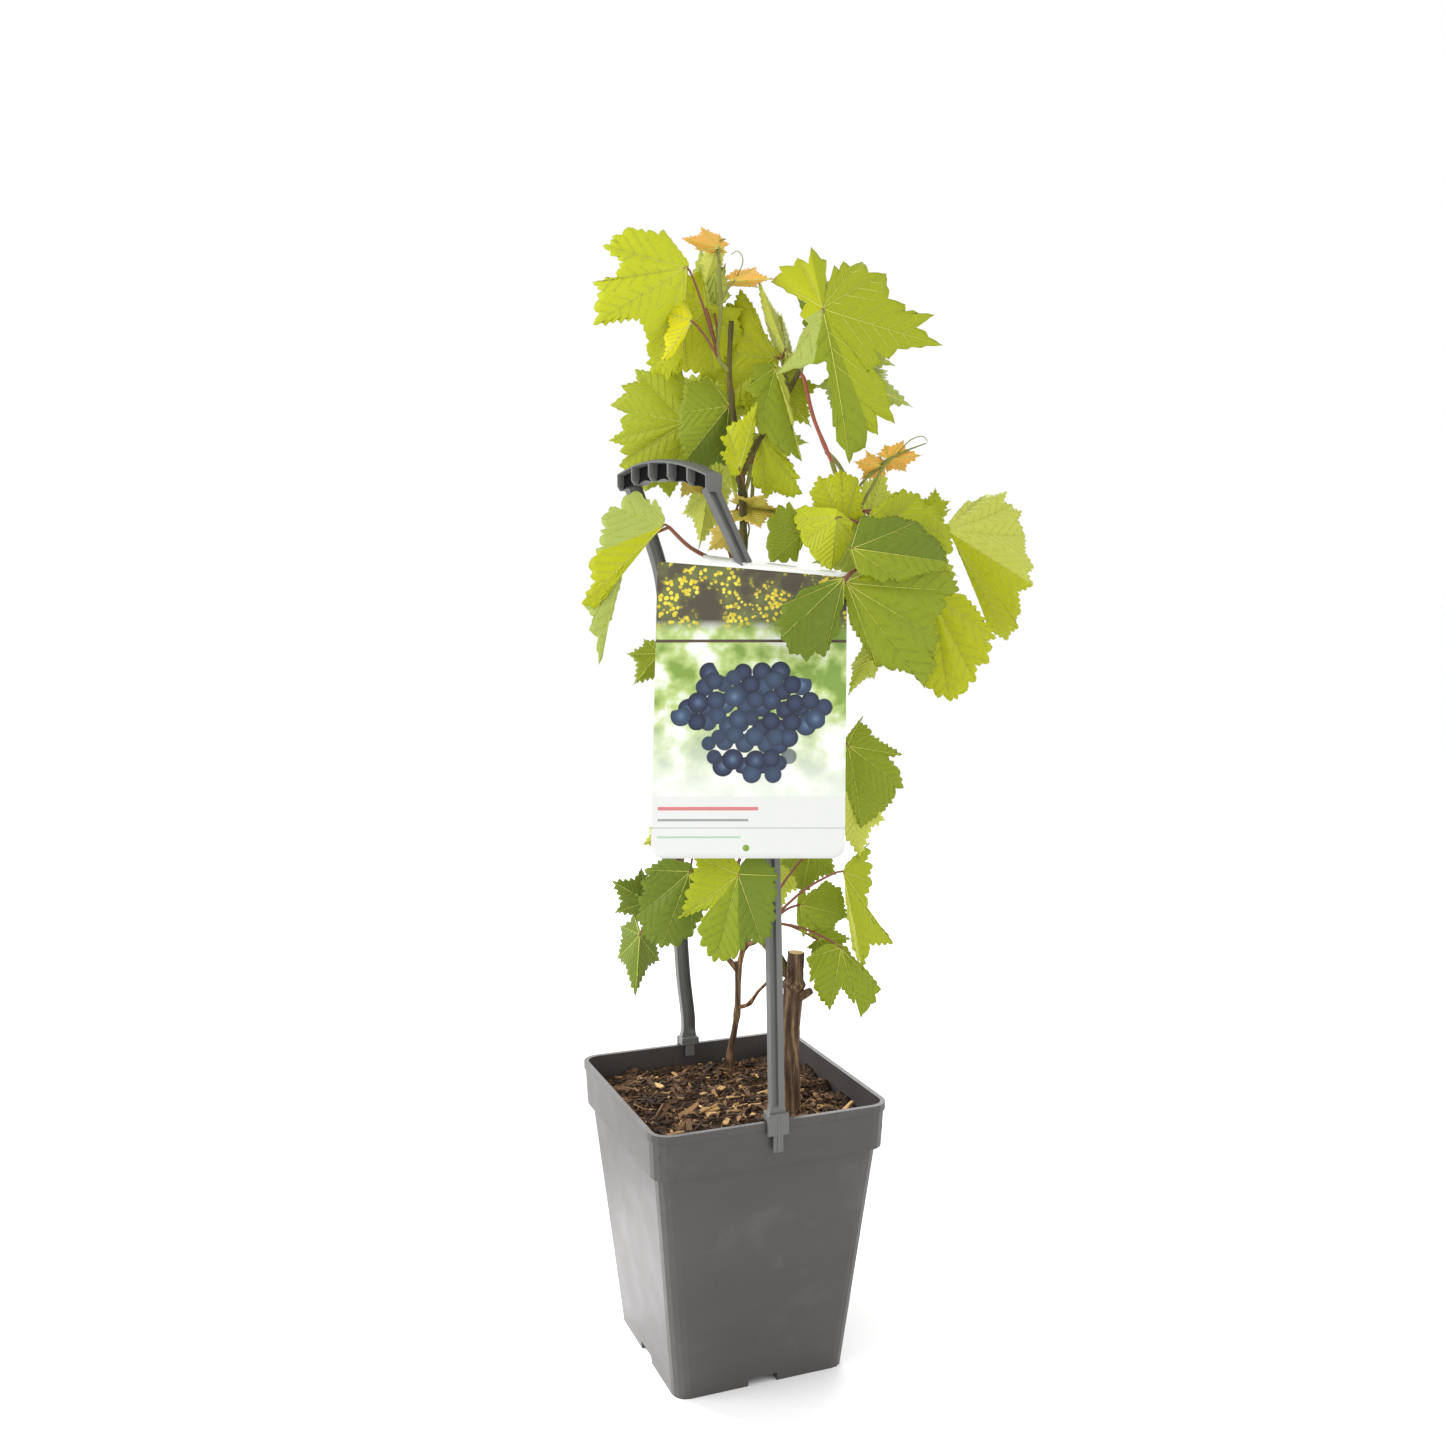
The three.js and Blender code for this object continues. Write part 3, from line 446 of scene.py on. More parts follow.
def relief(leaf, u, v):
    """How far the blade swells between its veins and waves at its edge, as a share of its length."""
    r = np.hypot(u, v)
    angle = np.degrees(np.arctan2(u, v))
    mains = [(-200, 0.4), *leaf["mains"], (200, 0.4)]
    height = np.zeros_like(r)
    for (low, low_reach), (high, high_reach) in zip(mains, mains[1:]):
        inside = (angle >= low) & (angle < high)
        share = (angle - low) / (high - low)
        nearest = np.radians(np.minimum(angle - low, high - angle))
        ahead, aside = r * np.cos(nearest), r * np.abs(np.sin(nearest))
        tip_reach = np.where(angle - low < high - angle, low_reach, high_reach)
        spaces = np.maximum(3, np.round(SIDE_RIBS * tip_reach))
        between = ((ahead - aside) / (RIB_END * tip_reach) - RIB_START) * spaces / RIB_SPAN
        ripple = np.abs(np.sin(math.pi * between)) * np.clip(aside / 0.08, 0, 1)
        quilt = QUILT * np.sin(math.pi * share) * np.clip(r * 2, 0, 1)
        height = np.where(inside, quilt + RIPPLE * ripple, height)
    return height + leaf["wave"] * np.sin(np.radians(angle) * 4.5 + leaf["phase"]) * r ** 3


def blade(leaf, u, v):
    """Points of the blade at u across and v along, in plant coordinates."""
    u, v = np.asarray(u, float), np.asarray(v, float)
    half = leaf["bend"] / 2
    turned = half - leaf["bend"] * v
    if abs(leaf["bend"]) < 0.01:
        ahead, bulge = v, 0 * v
    else:
        radius = 1 / (2 * math.sin(half))
        ahead = radius * (math.sin(half) - np.sin(turned))
        bulge = radius * (np.cos(turned) - math.cos(half))
    fold = np.radians(np.where(u > 0, leaf["right"], leaf["left"]))
    reach_out = np.hypot(u, 0.012) - 0.012
    sign = np.sign(u)
    lift = leaf["normal"] * np.cos(turned)[..., None] - leaf["direction"] * np.sin(turned)[..., None]
    height = relief(leaf, u, v)
    across = sign * (reach_out * np.cos(fold) + height * np.sin(fold))
    rise = height * np.cos(fold) - reach_out * np.sin(fold)
    flat = (leaf["direction"] * ahead[..., None] + leaf["normal"] * bulge[..., None]
            + leaf["side"] * across[..., None] + lift * rise[..., None])
    return leaf["base"] + leaf["length"] * flat


def blade_normals(leaf, u, v):
    step = 0.004
    du = blade(leaf, u + step, v) - blade(leaf, u - step, v)
    dv = blade(leaf, u, v + step) - blade(leaf, u, v - step)
    normals = np.cross(du, dv)
    return normals / np.maximum(np.linalg.norm(normals, axis=-1, keepdims=True), 1e-9)


def place_leaf(row, number):
    """A leaf from its row in MASSES: its place and frame, its two halves, its main ribs and its tones."""
    own = row[-1] if isinstance(row[-1], dict) else {}
    kind, root, jx, jz, j_depth, tx, tz, t_depth, turn, left, right, bend, *rest = row[:-1] if own else row
    spread_left, spread_right, fill = [*rest, *(1, 1, 0)[len(rest):]]
    base, tip = sight([jx, jz, j_depth]), sight([tx, tz, t_depth])
    direction, toward = unit(tip - base), unit(VIEWPOINT - base)
    facing, turned = unit(toward - direction * toward.dot(direction)), math.radians(turn)
    normal = facing * math.cos(turned) + np.cross(direction, facing) * math.sin(turned)
    leaf = {
        "root": root, "base": base, "direction": direction, "length": np.linalg.norm(tip - base),
        "normal": normal, "side": np.cross(direction, normal), "left": left, "right": right, "bend": bend,
        "phase": number * 1.7, **(DRAWN_LEAF if own else TYPICAL_LEAF),
    }
    if own:
        leaf.update({key: value for key, value in own.items() if key in leaf})
        right_edge, left_edge = [*own["right_edge"], own["sinus"]], [*own["left_edge"], own["sinus"]]
        halves = {1: drawn_half(right_edge, row, 1, math.cos(math.radians(turn + right))),
                  -1: drawn_half(left_edge, row, -1, math.cos(math.radians(turn - left)))}
    else:
        halves = {1: typical_half(spread_right, fill), -1: typical_half(spread_left, fill)}
    ends = [(sign * u, v) for sign in (1, -1) for u, v, main in halves[sign][1 if sign < 0 else 0:] if main]
    tones = kind if isinstance(kind, list) else [(0, kind.split("/")[0]), (180, kind.split("/")[-1])]
    leaf["halves"] = halves
    leaf["mains"] = sorted((math.degrees(math.atan2(u, v)), math.hypot(u, v)) for u, v in ends)
    leaf["tones"] = [(limit, LEAF_KINDS.index(one)) for limit, one in tones]
    return leaf


def tone(leaf, spot):
    """Which kind of green the blade has at a spot, by its angle from the midrib; lighter and darker sectors
    paint the lit and shaded parts of a leaf.
    """
    angle = math.degrees(math.atan2(spot[0], spot[1]))
    return next(kind for limit, kind in leaf["tones"] if angle <= limit)


def add_blade(build, leaf, rng):
    """A thin closed blade with a toothed edge, its two sides in their own colours."""
    pitch = leaf["teeth"] * max(1, USUAL_LEAF / leaf["length"]) ** 0.5
    right, right_teeth = toothed_half(leaf["halves"][1], leaf, pitch, rng)
    left, left_teeth = toothed_half(leaf["halves"][-1], leaf, pitch, rng)
    mirror = np.array([-1, 1])
    smooth = np.vstack([(left * mirror)[1:-1][::-1], right])
    teeth = np.vstack([(left_teeth * mirror)[1:-1][::-1], right_teeth])
    leaf["outline"] = smooth
    count = len(smooth)
    rings = [BLADE_CENTRE + (smooth - BLADE_CENTRE) * f + teeth * f ** 6 for f in BLADE_RINGS]
    flat = np.vstack([BLADE_CENTRE, *rings])
    faces = [(0, 1 + i, 1 + (i + 1) % count) for i in range(count)]
    for level in range(len(rings) - 1):
        for i in range(count):
            a, b = 1 + level * count + i, 1 + level * count + (i + 1) % count
            faces.append((a, a + count, b + count, b))
    border = list(range(len(flat) - count, len(flat)))
    tops = [tone(leaf, flat[list(face)].mean(0)) for face in faces]
    finishes = tops + [kind + len(LEAF_KINDS) for kind in tops] + [tone(leaf, flat[i]) for i in border]
    points = blade(leaf, flat[:, 0], flat[:, 1])
    offset = blade_normals(leaf, flat[:, 0], flat[:, 1]) * BLADE_THICKNESS / 2
    sheet(build, points + offset, points - offset, faces, border, finishes)


def add_vein(build, leaf, start, end, widths, steps, finish):
    """A slim four-sided rib through the blade, proud of both faces, from start to end in u and v."""
    t = np.linspace(0, 1, steps + 1)[:, None]
    path = start + (end - start) * t
    points = blade(leaf, path[:, 0], path[:, 1])
    normals = blade_normals(leaf, path[:, 0], path[:, 1])
    rings = []
    for step, (centre, tangent, normal) in enumerate(zip(points, np.gradient(points, axis=0), normals)):
        width = along(widths, step / steps)
        across = unit(np.cross(unit(tangent), normal)) * width
        proud = normal * (BLADE_THICKNESS / 2 + VEIN_PROUD + 0.4 * width)
        rings.append(np.array([centre + across, centre + proud, centre - across, centre - proud]))
    loft(build, rings, finish)


def add_veins(build, leaf):
    """The main ribs from the junction and the side ribs that leave them toward the margin."""
    thick = RIB_WIDTH + leaf["length"] * RIB_GROWTH
    main_widths = [*(thick * share for share in MAIN_RIB), MAIN_RIB_END]
    side_widths = [*(thick * share for share in SIDE_RIB), SIDE_RIB_END]
    for angle, tip_reach in leaf["mains"]:
        turned = math.radians(angle)
        heading = np.array([math.sin(turned), math.cos(turned)])
        end = tip_reach * RIB_END
        add_vein(build, leaf, heading * 0.005, heading * end, main_widths, 16, VEIN_FINISH)
        if tip_reach < 0.5 or leaf["length"] < SHORT_LEAF:
            continue
        spaces = max(3, round(SIDE_RIBS * tip_reach))
        for k in range(spaces):
            start = heading * end * (RIB_START + RIB_SPAN * k / spaces)
            for way in (turned + RIB_LEAN, turned - RIB_LEAN):
                step = np.array([math.sin(way), math.cos(way)])
                stretch = side_reach(leaf, angle, start, step)
                if stretch > 0.05:
                    stop = start + step * stretch
                    kind = tone(leaf, (start + stop) / 2)
                    # Over the mid and deep greens, which are painted shade in part, side ribs take that
                    # kind's underside colour instead of the pale vein colour
                    finish = kind + len(LEAF_KINDS) if LEAF_KINDS[kind] in DARK_KINDS else VEIN_FINISH
                    add_vein(build, leaf, start, stop, side_widths, 8, finish)


def side_reach(leaf, home, start, step):
    """How far a side rib of the main rib at home runs before it nears the margin or another main rib."""
    outline = leaf["outline"]
    following = np.roll(outline, -1, axis=0)
    stretch = 0
    while stretch < RIB_LONGEST:
        u, v = start + step * (stretch + RIB_MARGIN)
        angle = math.degrees(math.atan2(u, v))
        if min(leaf["mains"], key=lambda main: abs(main[0] - angle))[0] != home:
            break
        crossing = (outline[:, 1] > v) != (following[:, 1] > v)
        rise = np.where(crossing, following[:, 1] - outline[:, 1], 1)
        meets = outline[:, 0] + (v - outline[:, 1]) * (following[:, 0] - outline[:, 0]) / rise
        if np.count_nonzero(crossing & (meets > u)) % 2 == 0:
            break
        stretch += RIB_STEP
    return stretch


def add_petiole(build, leaf, start):
    middle = (start + leaf["base"]) / 2
    middle[2] += np.linalg.norm(leaf["base"] - start) * 0.08
    inside = blade(leaf, 0.0, 0.04)
    finish = STEM_FINISH if leaf["tones"][0][1] == LEAF_KINDS.index("orange") else PETIOLE_FINISH
    radii = [PETIOLE_RADIUS * 1.25, PETIOLE_RADIUS, PETIOLE_RADIUS * 0.9, PETIOLE_RADIUS * 0.6]
    limb(build, [start, middle, leaf["base"], inside], radii, 8, 12, finish)


# Limbs: bark, its roughness, sides, steps, radii, knots along it and the route of [x, z, depth] as seen
LIMBS = {
    "stump": ("old", 0.09, 40, 90, [6.4, 5.6, 5.9, 5], [0.72], [
        [38.6, 142, -16], [38.3, 200, -13], [40, 228, -12], [41.5, 252, -12]]),
    "cane_lower": ("cane", 0.04, 16, 160, [2.8, 2.5, 2.4, 2.3, 2.3],
                   [0.31, 0.44, 0.56, 0.66, 0.79, 0.9, 0.98], [
        [39, 234, -12], [30, 250, -8], [22, 258, -4], [17, 272, 0], [14, 310, 4], [10, 380, 6],
        [9, 450, 5], [8.5, 500, 3], [8, 530, 2], [6.5, 543, 2]]),
    "cane_left": ("cane", 0.03, 14, 60, [1.9, 1.8, 1.7, 1.3], [0.2, 0.6, 0.97], [
        [6.6, 541, 2], [4, 560, 3], [3, 574, 3], [1, 590, 2], [0, 605, 0], [1.2, 633, 0]]),
    "cane_right": ("cane", 0.03, 14, 60, [1.8, 1.7, 1.5], [0.33, 0.8, 0.98], [
        [6.8, 540, 2], [10, 549, -1], [15, 559, -1], [21, 569, 0], [29, 583, 3], [36, 594, 5],
        [42, 605, 6]]),
    "arching_shoot": ("shoot", 0.02, 12, 40, [1.3, 1.2, 1.1], [0.8], [
        [41.4, 603.5, 6], [44, 600, 5], [46, 592, 4], [50, 577, 2], [57, 560, 0], [63, 547, -2]]),
    "thin_stem": ("old", 0.12, 18, 60, [3, 2.2, 2, 1.9, 2.6], [0.15, 0.6], [
        [2, 172, 57], [1.2, 190, 57], [3, 200, 56], [5, 213, 55], [5.8, 235, 54], [6, 246, 54]]),
    "back_cane": ("brown", 0.05, 12, 150, [1.9, 1.7, 1.6, 1.5, 1.3],
                  [0.1, 0.28, 0.42, 0.55, 0.66, 0.8, 0.93], [
        [6, 243, 54], [10, 256, 52], [17, 260, 46], [16, 290, 36], [10, 360, 28], [6, 430, 22],
        [2, 493, 18], [-3, 507, 16], [-9, 522, 15], [-15, 538, 15], [-20, 556, 16]]),
    "side_twig": ("brown", 0.08, 10, 40, [1.5, 1, 0.8], [0.3, 0.75], [
        [5.5, 217, 55], [12, 219, 50], [18, 227, 42], [24, 233, 34], [33, 240, 22]]),
}

# Short spurs on a limb, and the stump's pale cut: route, radii, sides, steps and, for the cut, its finish
SPURS = {
    "stump": [
        ([[44, 224, -14], [48, 226, -17], [50.5, 227.5, -19]], [3, 2.6, 2.2], 14, 8),
        ([[35.5, 238, -17], [33.5, 239, -20], [32.6, 239.5, -21]], [2.2, 2, 1], 12, 6),
        ([[41.4, 250.8, -12], [41.5, 252.2, -12]], [4.5, 4.4], 24, 2, 1),
    ],
    "thin_stem": [
        ([[5.8, 240, 54], [2, 245, 53], [-1.5, 249, 53]], [2, 1.9, 1.7], 12, 10),
        ([[2.2, 174, 57], [-2, 180, 55], [-3.5, 184, 54]], [2, 1.4, 1.1], 10, 8),
    ],
}

# Masses of foliage: the stem, then the leaves. Each row gives kind, place on the stem, junction x z depth,
# tip x z depth, turn about the midrib, fold of the left and right half, bend of the midrib and, where they
# aren't typical, the spread of the left and right lobes and how far the bays are filled. A kind is a name,
# "left/right" or a list of (angle limit, name) from left to right. Leaves that face the viewer end with a
# dict: each edge from tip to sinus as bays and tips [x, z] in turn, with a 1 where a main rib ends, and any
# setting that place_leaf gives a leaf
# Lighter and darker kinds across one leaf paint its lit and shaded parts
MASSES = {
    "foliage_top_left": ([[0, 604, 0], [-6.5, 612, -1], [-5, 640, -2], [-6, 667, -3]], [
        ["light", 0.3, -25, 664, -10, -80, 631, -22, 0, 22, 15, 0.4, {
            "right_edge": [[-77, 637], [-79.5, 640], [-75, 650], [-80, 655, 1], [-64, 657], [-66.5, 660],
                [-62, 666], [-73, 676, 1], [-65, 678], [-67, 681], [-62, 682], [-57, 686], [-47, 683.5],
                [-45, 685], [-40, 683], [-36, 686.5, 1]],
            "left_edge": [[-53, 635], [-49, 627], [-47, 622], [-48, 617], [-44, 612], [-43.5, 602, 1],
                [-38, 606], [-34, 600], [-30, 606], [-24, 612, 1]],
            "sinus": [-24, 667]}],
        ["yellow", 0.32, -22.5, 633, -14, -41, 608, -16, 0, 35, 35, 0.3, {
            "right_edge": [[-37, 618], [-38, 624], [-34, 630], [-35, 640, 1], [-31, 648], [-27, 658, 1]],
            "left_edge": [[-36, 612], [-33, 614], [-30, 620], [-27, 622, 1]],
            "sinus": [-22, 635]}],
        ["bright", 0.35, -14, 640, 13, -47, 602, 18, 0, 8, 8, 0.2, 0.9, 0.9, 0.5],
        ["pale", 1, -8, 674, 2, -14, 655, 4, 0, 60, 60, 0.3],
        ["orange", 1, -6, 675, -6, -26, 680, -12, 0, 72, 55, 0.3],
        ["orange", 0.72, 3, 656, -5, 25, 657, -9, 0, 62, 76, 0.3],
        ["mid", 0.5, -10, 640, 22, -40, 652, 48, 180, 15, 15, 0.4],
    ]),
    "foliage_top_centre": ([[35, 592, 5], [33, 602, 9], [31, 611, 12]], [
        ["bright", 0.9, 28, 612, 16, -13, 614, 30, 0, 8, 5, 0.4, {
            "right_edge": [[-11, 622], [-13, 628], [-10, 633], [-12, 639, 1], [-4, 638], [-1, 642],
                [3, 641], [6, 649.5, 1], [13, 640], [17.5, 634], [18, 628], [25, 620]],
            "left_edge": [[-8, 606], [-10, 600], [-5, 597], [-6, 588, 1], [0, 590], [2, 582], [8, 588],
                [12, 578, 1], [20, 590], [24, 588]],
            "sinus": [30, 613]}],
        ["pale", 1, 33, 616, 6, 18, 654, 0, 0, 78, 80, 0.2],
        ["pale/mid", 0.4, 27, 606, 2, 43, 552, -6, 0, 35, -15, 0.3, {
            "right_edge": [[36, 556], [35, 554.5], [29, 560], [27, 559], [22, 566], [18, 567, 1],
                [16, 575], [13, 580], [17, 586], [10, 592, 1], [16, 600], [14, 606]],
            "left_edge": [[40, 560], [39, 565], [37.5, 570], [38, 578, 1], [36, 585], [35.5, 592],
                [33, 597], [32, 602]],
            "sinus": [28, 609], "teeth": 0.11}],
        ["fresh", 0.3, 30, 594, 14, 47.5, 573, 14, 0, 10, 40, 0.3],
    ]),
    "foliage_top_right": ([[42, 603, 6], [46, 622, -2], [54, 639, -13]], [
        [[(-12, "fresh"), (22, "mid"), (75, "grey"), (180, "bright")],
            1, 55, 640, -15, 71, 551, -26, -12, 12, 15, 0.5, {
            "right_edge": [[68, 557], [62.5, 563], [63.5, 570], [60, 571], [61, 580], [60, 583.5],
                [56, 608], [27, 602, 1], [38, 614], [40.5, 624], [45.5, 631], [41.5, 637], [44.5, 645],
                [24.5, 662.5, 1], [31, 667], [30, 670.5], [38, 670.3], [40.5, 676.5, 1], [47, 670.5],
                [50, 681.5], [56, 674], [59, 673]],
            "left_edge": [[73.5, 556], [80, 560], [81, 569], [87, 567.5], [86, 578], [96.5, 574.5],
                [91, 590], [90, 597], [80, 602.5], [87, 610], [84, 617], [92, 612], [98, 619],
                [123.5, 624.5, 1], [109, 634], [118, 643], [102, 643.5], [101.5, 648], [92.5, 651],
                [92.5, 672, 1], [82, 669], [79, 678.5, 1], [72, 673], [68, 675], [65.5, 668],
                [62.5, 670.5]],
            "sinus": [57, 646], "teeth": 0.1, "depth": 0.3}],
        ["grey", 0.3, 66, 604, 10, 107, 584, 14, 0, 62, 40, 0.3, 0.8, 0.8],
        ["mid", 0.4, 58, 620, 14, 88, 644, 42, 180, 15, 15, 0.4],
    ]),
    "foliage_middle_left": ([[-19.5, 553, 16], [-20, 566, 17], [-14, 574, 18]], [
        ["fresh", 1, -24, 574, 24, -71.5, 563.5, 44, 0, 5, 8, 0.4, {
            "right_edge": [[-61, 570], [-63, 575.5], [-59, 579], [-70.5, 583, 1], [-60, 590],
                [-63.5, 593.5], [-54, 596], [-56, 602.5, 1], [-46, 601], [-43, 609], [-36, 604],
                [-30, 607, 1]],
            "left_edge": [[-61, 561], [-64, 557.5], [-60, 555], [-67, 549, 1], [-55, 543], [-50, 536],
                [-42, 540], [-36, 533, 1], [-28, 545], [-22, 545]],
            "sinus": [-20, 576], "depth": 0.4}],
        ["deep/mid", 1, 0, 584, 9, -26, 552, 13, 0, 20, 15, 0.4, {
            "right_edge": [[-28, 560], [-31, 566], [-29, 572], [-31, 580, 1], [-27, 588], [-26, 597],
                [-18, 598], [-12, 602, 1]],
            "left_edge": [[-20, 550], [-14, 547], [-8, 551], [-2, 548, 1], [0, 558], [4, 562]],
            "sinus": [2, 586]}],
        ["pale", 0.1, -12, 536, 26, -18, 501, 26, 0, 50, 60, 0.4],
        ["golden", 0.1, -18, 545, 24, -29, 530, 24, 0, 40, 40, 0.2],
    ]),
    "foliage_middle_centre": ([[8.3, 532, 2], [11, 538, 6], [13, 550, 7]], [
        ["bright", 0.2, 6, 547, -8, 16.5, 586, -12, 0, 15, 40, 0.3, {
            "right_edge": [[15, 578], [16, 574], [14, 568], [14, 562], [11, 556], [9, 550]],
            "left_edge": [[8, 576], [-2.5, 571, 1], [0, 567], [-5.5, 565.5], [0, 558], [-6, 556, 1],
                [-1, 549], [1, 543]],
            "sinus": [6, 543]}],
        ["light", 0.9, 19, 566, 10, 43.5, 532.5, 6, 0, 10, 15, 0.3, {
            "right_edge": [[36, 530.5], [31, 532], [26, 534], [21.5, 529, 1], [19, 535], [14.5, 537],
                [14, 542], [11, 547, 1]],
            "left_edge": [[40, 537], [40, 540.5], [38, 541], [42.5, 541.5], [37, 546], [39, 549, 1],
                [34, 552], [34.5, 555], [30, 557], [28.5, 561, 1]],
            "sinus": [18, 569]}],
        ["golden", 0.3, 11, 524, 8, 36, 521, 2, 0, -62, -52, 0.3],
        ["golden", 0.5, 0, 510, 9, -12, 499, 9, 0, 15, 35, 0.2],
    ]),
    "foliage_left": ([[8.8, 478, 4], [0, 486, -12], [-10, 493, -20], [-24, 501, -26], [-36, 512.5, -30]], [
        [[(22, "bright"), (180, "grey")], 1, -38.5, 514, -31, -88.5, 467, -38, 0, 12, 20, 0.4, {
            "right_edge": [[-81, 480], [-84, 491.5], [-76, 501], [-77.5, 505], [-74, 512], [-76, 518.5],
                [-72, 523], [-70, 526.5, 1], [-64, 525], [-62, 531], [-58, 534], [-53, 536.5, 1],
                [-46, 527], [-43, 531]],
            "left_edge": [[-84, 465], [-80, 464], [-70, 478], [-64, 489.5], [-58, 496], [-52, 502]],
            "sinus": [-38.5, 518], "wave": 0.01}],
        ["grey", 1, -64, 494, -29, -79, 430, -40, 0, 20, 15, 0.3, {
            "right_edge": [[-79.5, 437], [-80.5, 440], [-79.5, 446], [-84.5, 451], [-81, 458],
                [-88, 466.5, 1], [-80, 478], [-76, 486]],
            "left_edge": [[-76.5, 433], [-76, 436], [-75, 448], [-73.5, 452], [-70, 459], [-68.5, 466],
                [-66.5, 473], [-64, 482]],
            "sinus": [-63, 497], "depth": 0.4, "wave": 0.01}],
    ]),
    "foliage_right": ([[61, 551, -1.5], [66, 538, -3], [77, 521, -8], [80, 504, -28], [76, 487, -54]], [
        ["bright", 0.42, 69, 512, -12, 66.5, 547, -10, 0, 15, 15, 0.3, {
            "right_edge": [[70.5, 543.5], [77, 541.5, 1], [78, 534], [80, 529], [78, 524], [81, 519, 1]],
            "left_edge": [[62, 543], [60, 544], [57, 540], [53, 543.5, 1], [51, 537], [48, 533], [51, 528],
                [49, 522, 1]],
            "sinus": [70, 508]}],
        ["light", 0.6, 64, 518, -24, 61, 487, -30, 0, 25, 20, 0.5, {
            "right_edge": [[55, 492], [51, 495], [48, 500], [44, 505, 1], [43, 512], [39.5, 521, 1],
                [43, 530], [53, 527]],
            "left_edge": [[65, 492], [68, 496], [70, 500], [75, 507, 1], [73, 512], [74, 518, 1]],
            "sinus": [61, 525], "teeth": 0.13}],
        ["mid", 0.5, 44, 509, -14, 25, 492, -16, 0, 15, 15, 0.4, {
            "right_edge": [[23, 498], [22.5, 503], [24, 510], [23, 516, 1], [28, 521], [31, 527],
                [35, 525], [38, 530, 1]],
            "left_edge": [[29, 493], [34, 491.5], [36, 494], [41, 492, 1], [41, 498], [44, 501]],
            "sinus": [46, 512], "teeth": 0.14}],
        ["orange", 0.38, 90, 548, -4, 75, 551, -8, 0, 35, 50, 0.2],
        ["orange", 0.38, 95, 553, -2, 114, 555, -4, 0, 45, 50, 0.2],
        ["fresh", 0.8, 80, 499, -44, 131, 513, -38, 0, 15, 15, 0.4, {
            "right_edge": [[132, 505], [134, 499], [128, 494], [120, 490, 1], [100, 488], [90, 486]],
            "left_edge": [[125, 517], [123.5, 526], [118, 524], [115, 533.5, 1], [108, 533], [105, 535.5],
                [99, 531], [93, 527], [89, 524], [86, 525, 1]],
            "sinus": [77, 500]}],
        ["deep/mid", 0.9, 73, 500, -62, 130, 492, -56, 0, 22, 12, 0.4, {
            "right_edge": [[127, 488], [124, 486.5], [112, 484], [103, 479.5, 1], [96, 482], [92, 479.5],
                [84, 484], [78, 483.5, 1]],
            "left_edge": [[128, 499], [123, 506], [119, 508], [114, 516, 1], [106, 517], [100, 519],
                [90, 517], [79, 519, 1]],
            "sinus": [71, 500], "teeth": 0.055}],
        [[(-60, "fresh"), (180, "mid")], 1, 70, 480, -56, 119, 415, -50, 0, 15, 20, 0.5, {
            "right_edge": [[113, 424], [108, 425], [101, 428.5], [98, 427], [93, 429.5], [89, 428, 1],
                [76, 450], [72, 456]],
            "left_edge": [[121, 424], [125, 431], [122, 437], [127, 446, 1], [122, 456], [131, 466],
                [128, 470], [139.5, 474, 1], [133, 484], [126, 488], [110, 488], [95, 492, 1]],
            "sinus": [68.5, 477], "teeth": 0.055}],
        ["deep", 1, 69, 482, -60, 31, 446, -74, 0, 15, 25, 0.2, {
            "right_edge": [[31, 452], [28, 455], [33, 460], [32, 466, 1], [40, 470], [44, 475], [54, 478],
                [60, 481, 1]],
            "left_edge": [[35, 443], [37, 437], [43, 437], [47, 433], [52, 439], [58, 436, 1], [62, 446],
                [66, 450], [66, 462], [69, 466, 1]],
            "sinus": [70, 484], "depth": 0.4}],
        ["pale/bright", 0.55, 130, 511, -4, 182, 478, -14, 0, 54, 30, 0.4, {
            "right_edge": [[174, 474.5], [177.5, 461], [174, 456], [178, 450], [174, 446], [173, 438, 1],
                [163, 444], [160, 446]],
            "left_edge": [[178, 484], [183.5, 487], [178.5, 496], [180, 508, 1], [172, 517], [174, 522.5],
                [168, 524], [165.5, 529, 1], [158.5, 530], [158, 538], [150, 536], [145, 539.5, 1],
                [139, 532], [135, 534.5]],
            "sinus": [129.5, 514], "teeth": 0.06}],
        ["bright", 0.6, 122, 472, -22, 134, 408, -26, 0, 12, 12, 0.3, {
            "right_edge": [[129, 411.5], [126, 410], [123, 415], [119, 416], [118, 430], [115, 440, 1],
                [114, 452], [112, 460]],
            "left_edge": [[139, 412], [144, 415], [145, 420], [149.5, 420, 1], [149, 430], [157, 431.5],
                [156, 437], [159, 441], [155, 445], [161.5, 446.5, 1], [152, 460], [141, 473]],
            "sinus": [120, 476], "teeth": 0.065}],
        ["fresh", 0.5, 122, 522, 6, 123, 535, 6, 0, 10, 10, 0.2],
        ["fresh", 0.95, 87, 438, -30, 73, 413, -30, 0, 66, 66, 0.2],
    ]),
    "foliage_right_low": ([[9.4, 410, 6], [40, 402, -14], [66, 390, -34]], [
        ["mid", 1, 72, 381, -42, 106, 355, -44, 0, 20, 20, 0.4, {
            "right_edge": [[101.5, 354.5], [101.5, 350], [98, 344], [96, 339], [93, 338], [92, 334],
                [90, 333], [83, 325.5, 1], [79, 335], [75, 343], [73, 352], [66, 360, 1]],
            "left_edge": [[104, 362], [103.5, 366], [95, 375], [106.5, 375, 1], [86, 387.5], [86.5, 390],
                [79, 396], [81, 400.5, 1]],
            "sinus": [70, 384]}],
        ["pale", 0.9, 74, 348, -24, 80, 311, -26, 0, 40, 50, 0.3],
    ]),
    "foliage_low_right": ([[17, 271, 0], [24, 272, -8], [31, 276, -14]], [
        ["fresh/pale", 0.7, 70, 303, -30, 83, 240, -34, 0, 30, 20, 0.2, {
            "right_edge": [[80, 246], [78.5, 247], [75, 262], [74, 267], [73, 280], [71, 284]],
            "left_edge": [[84.5, 247], [87, 252], [87, 257], [103, 255, 1], [95, 265], [94, 267],
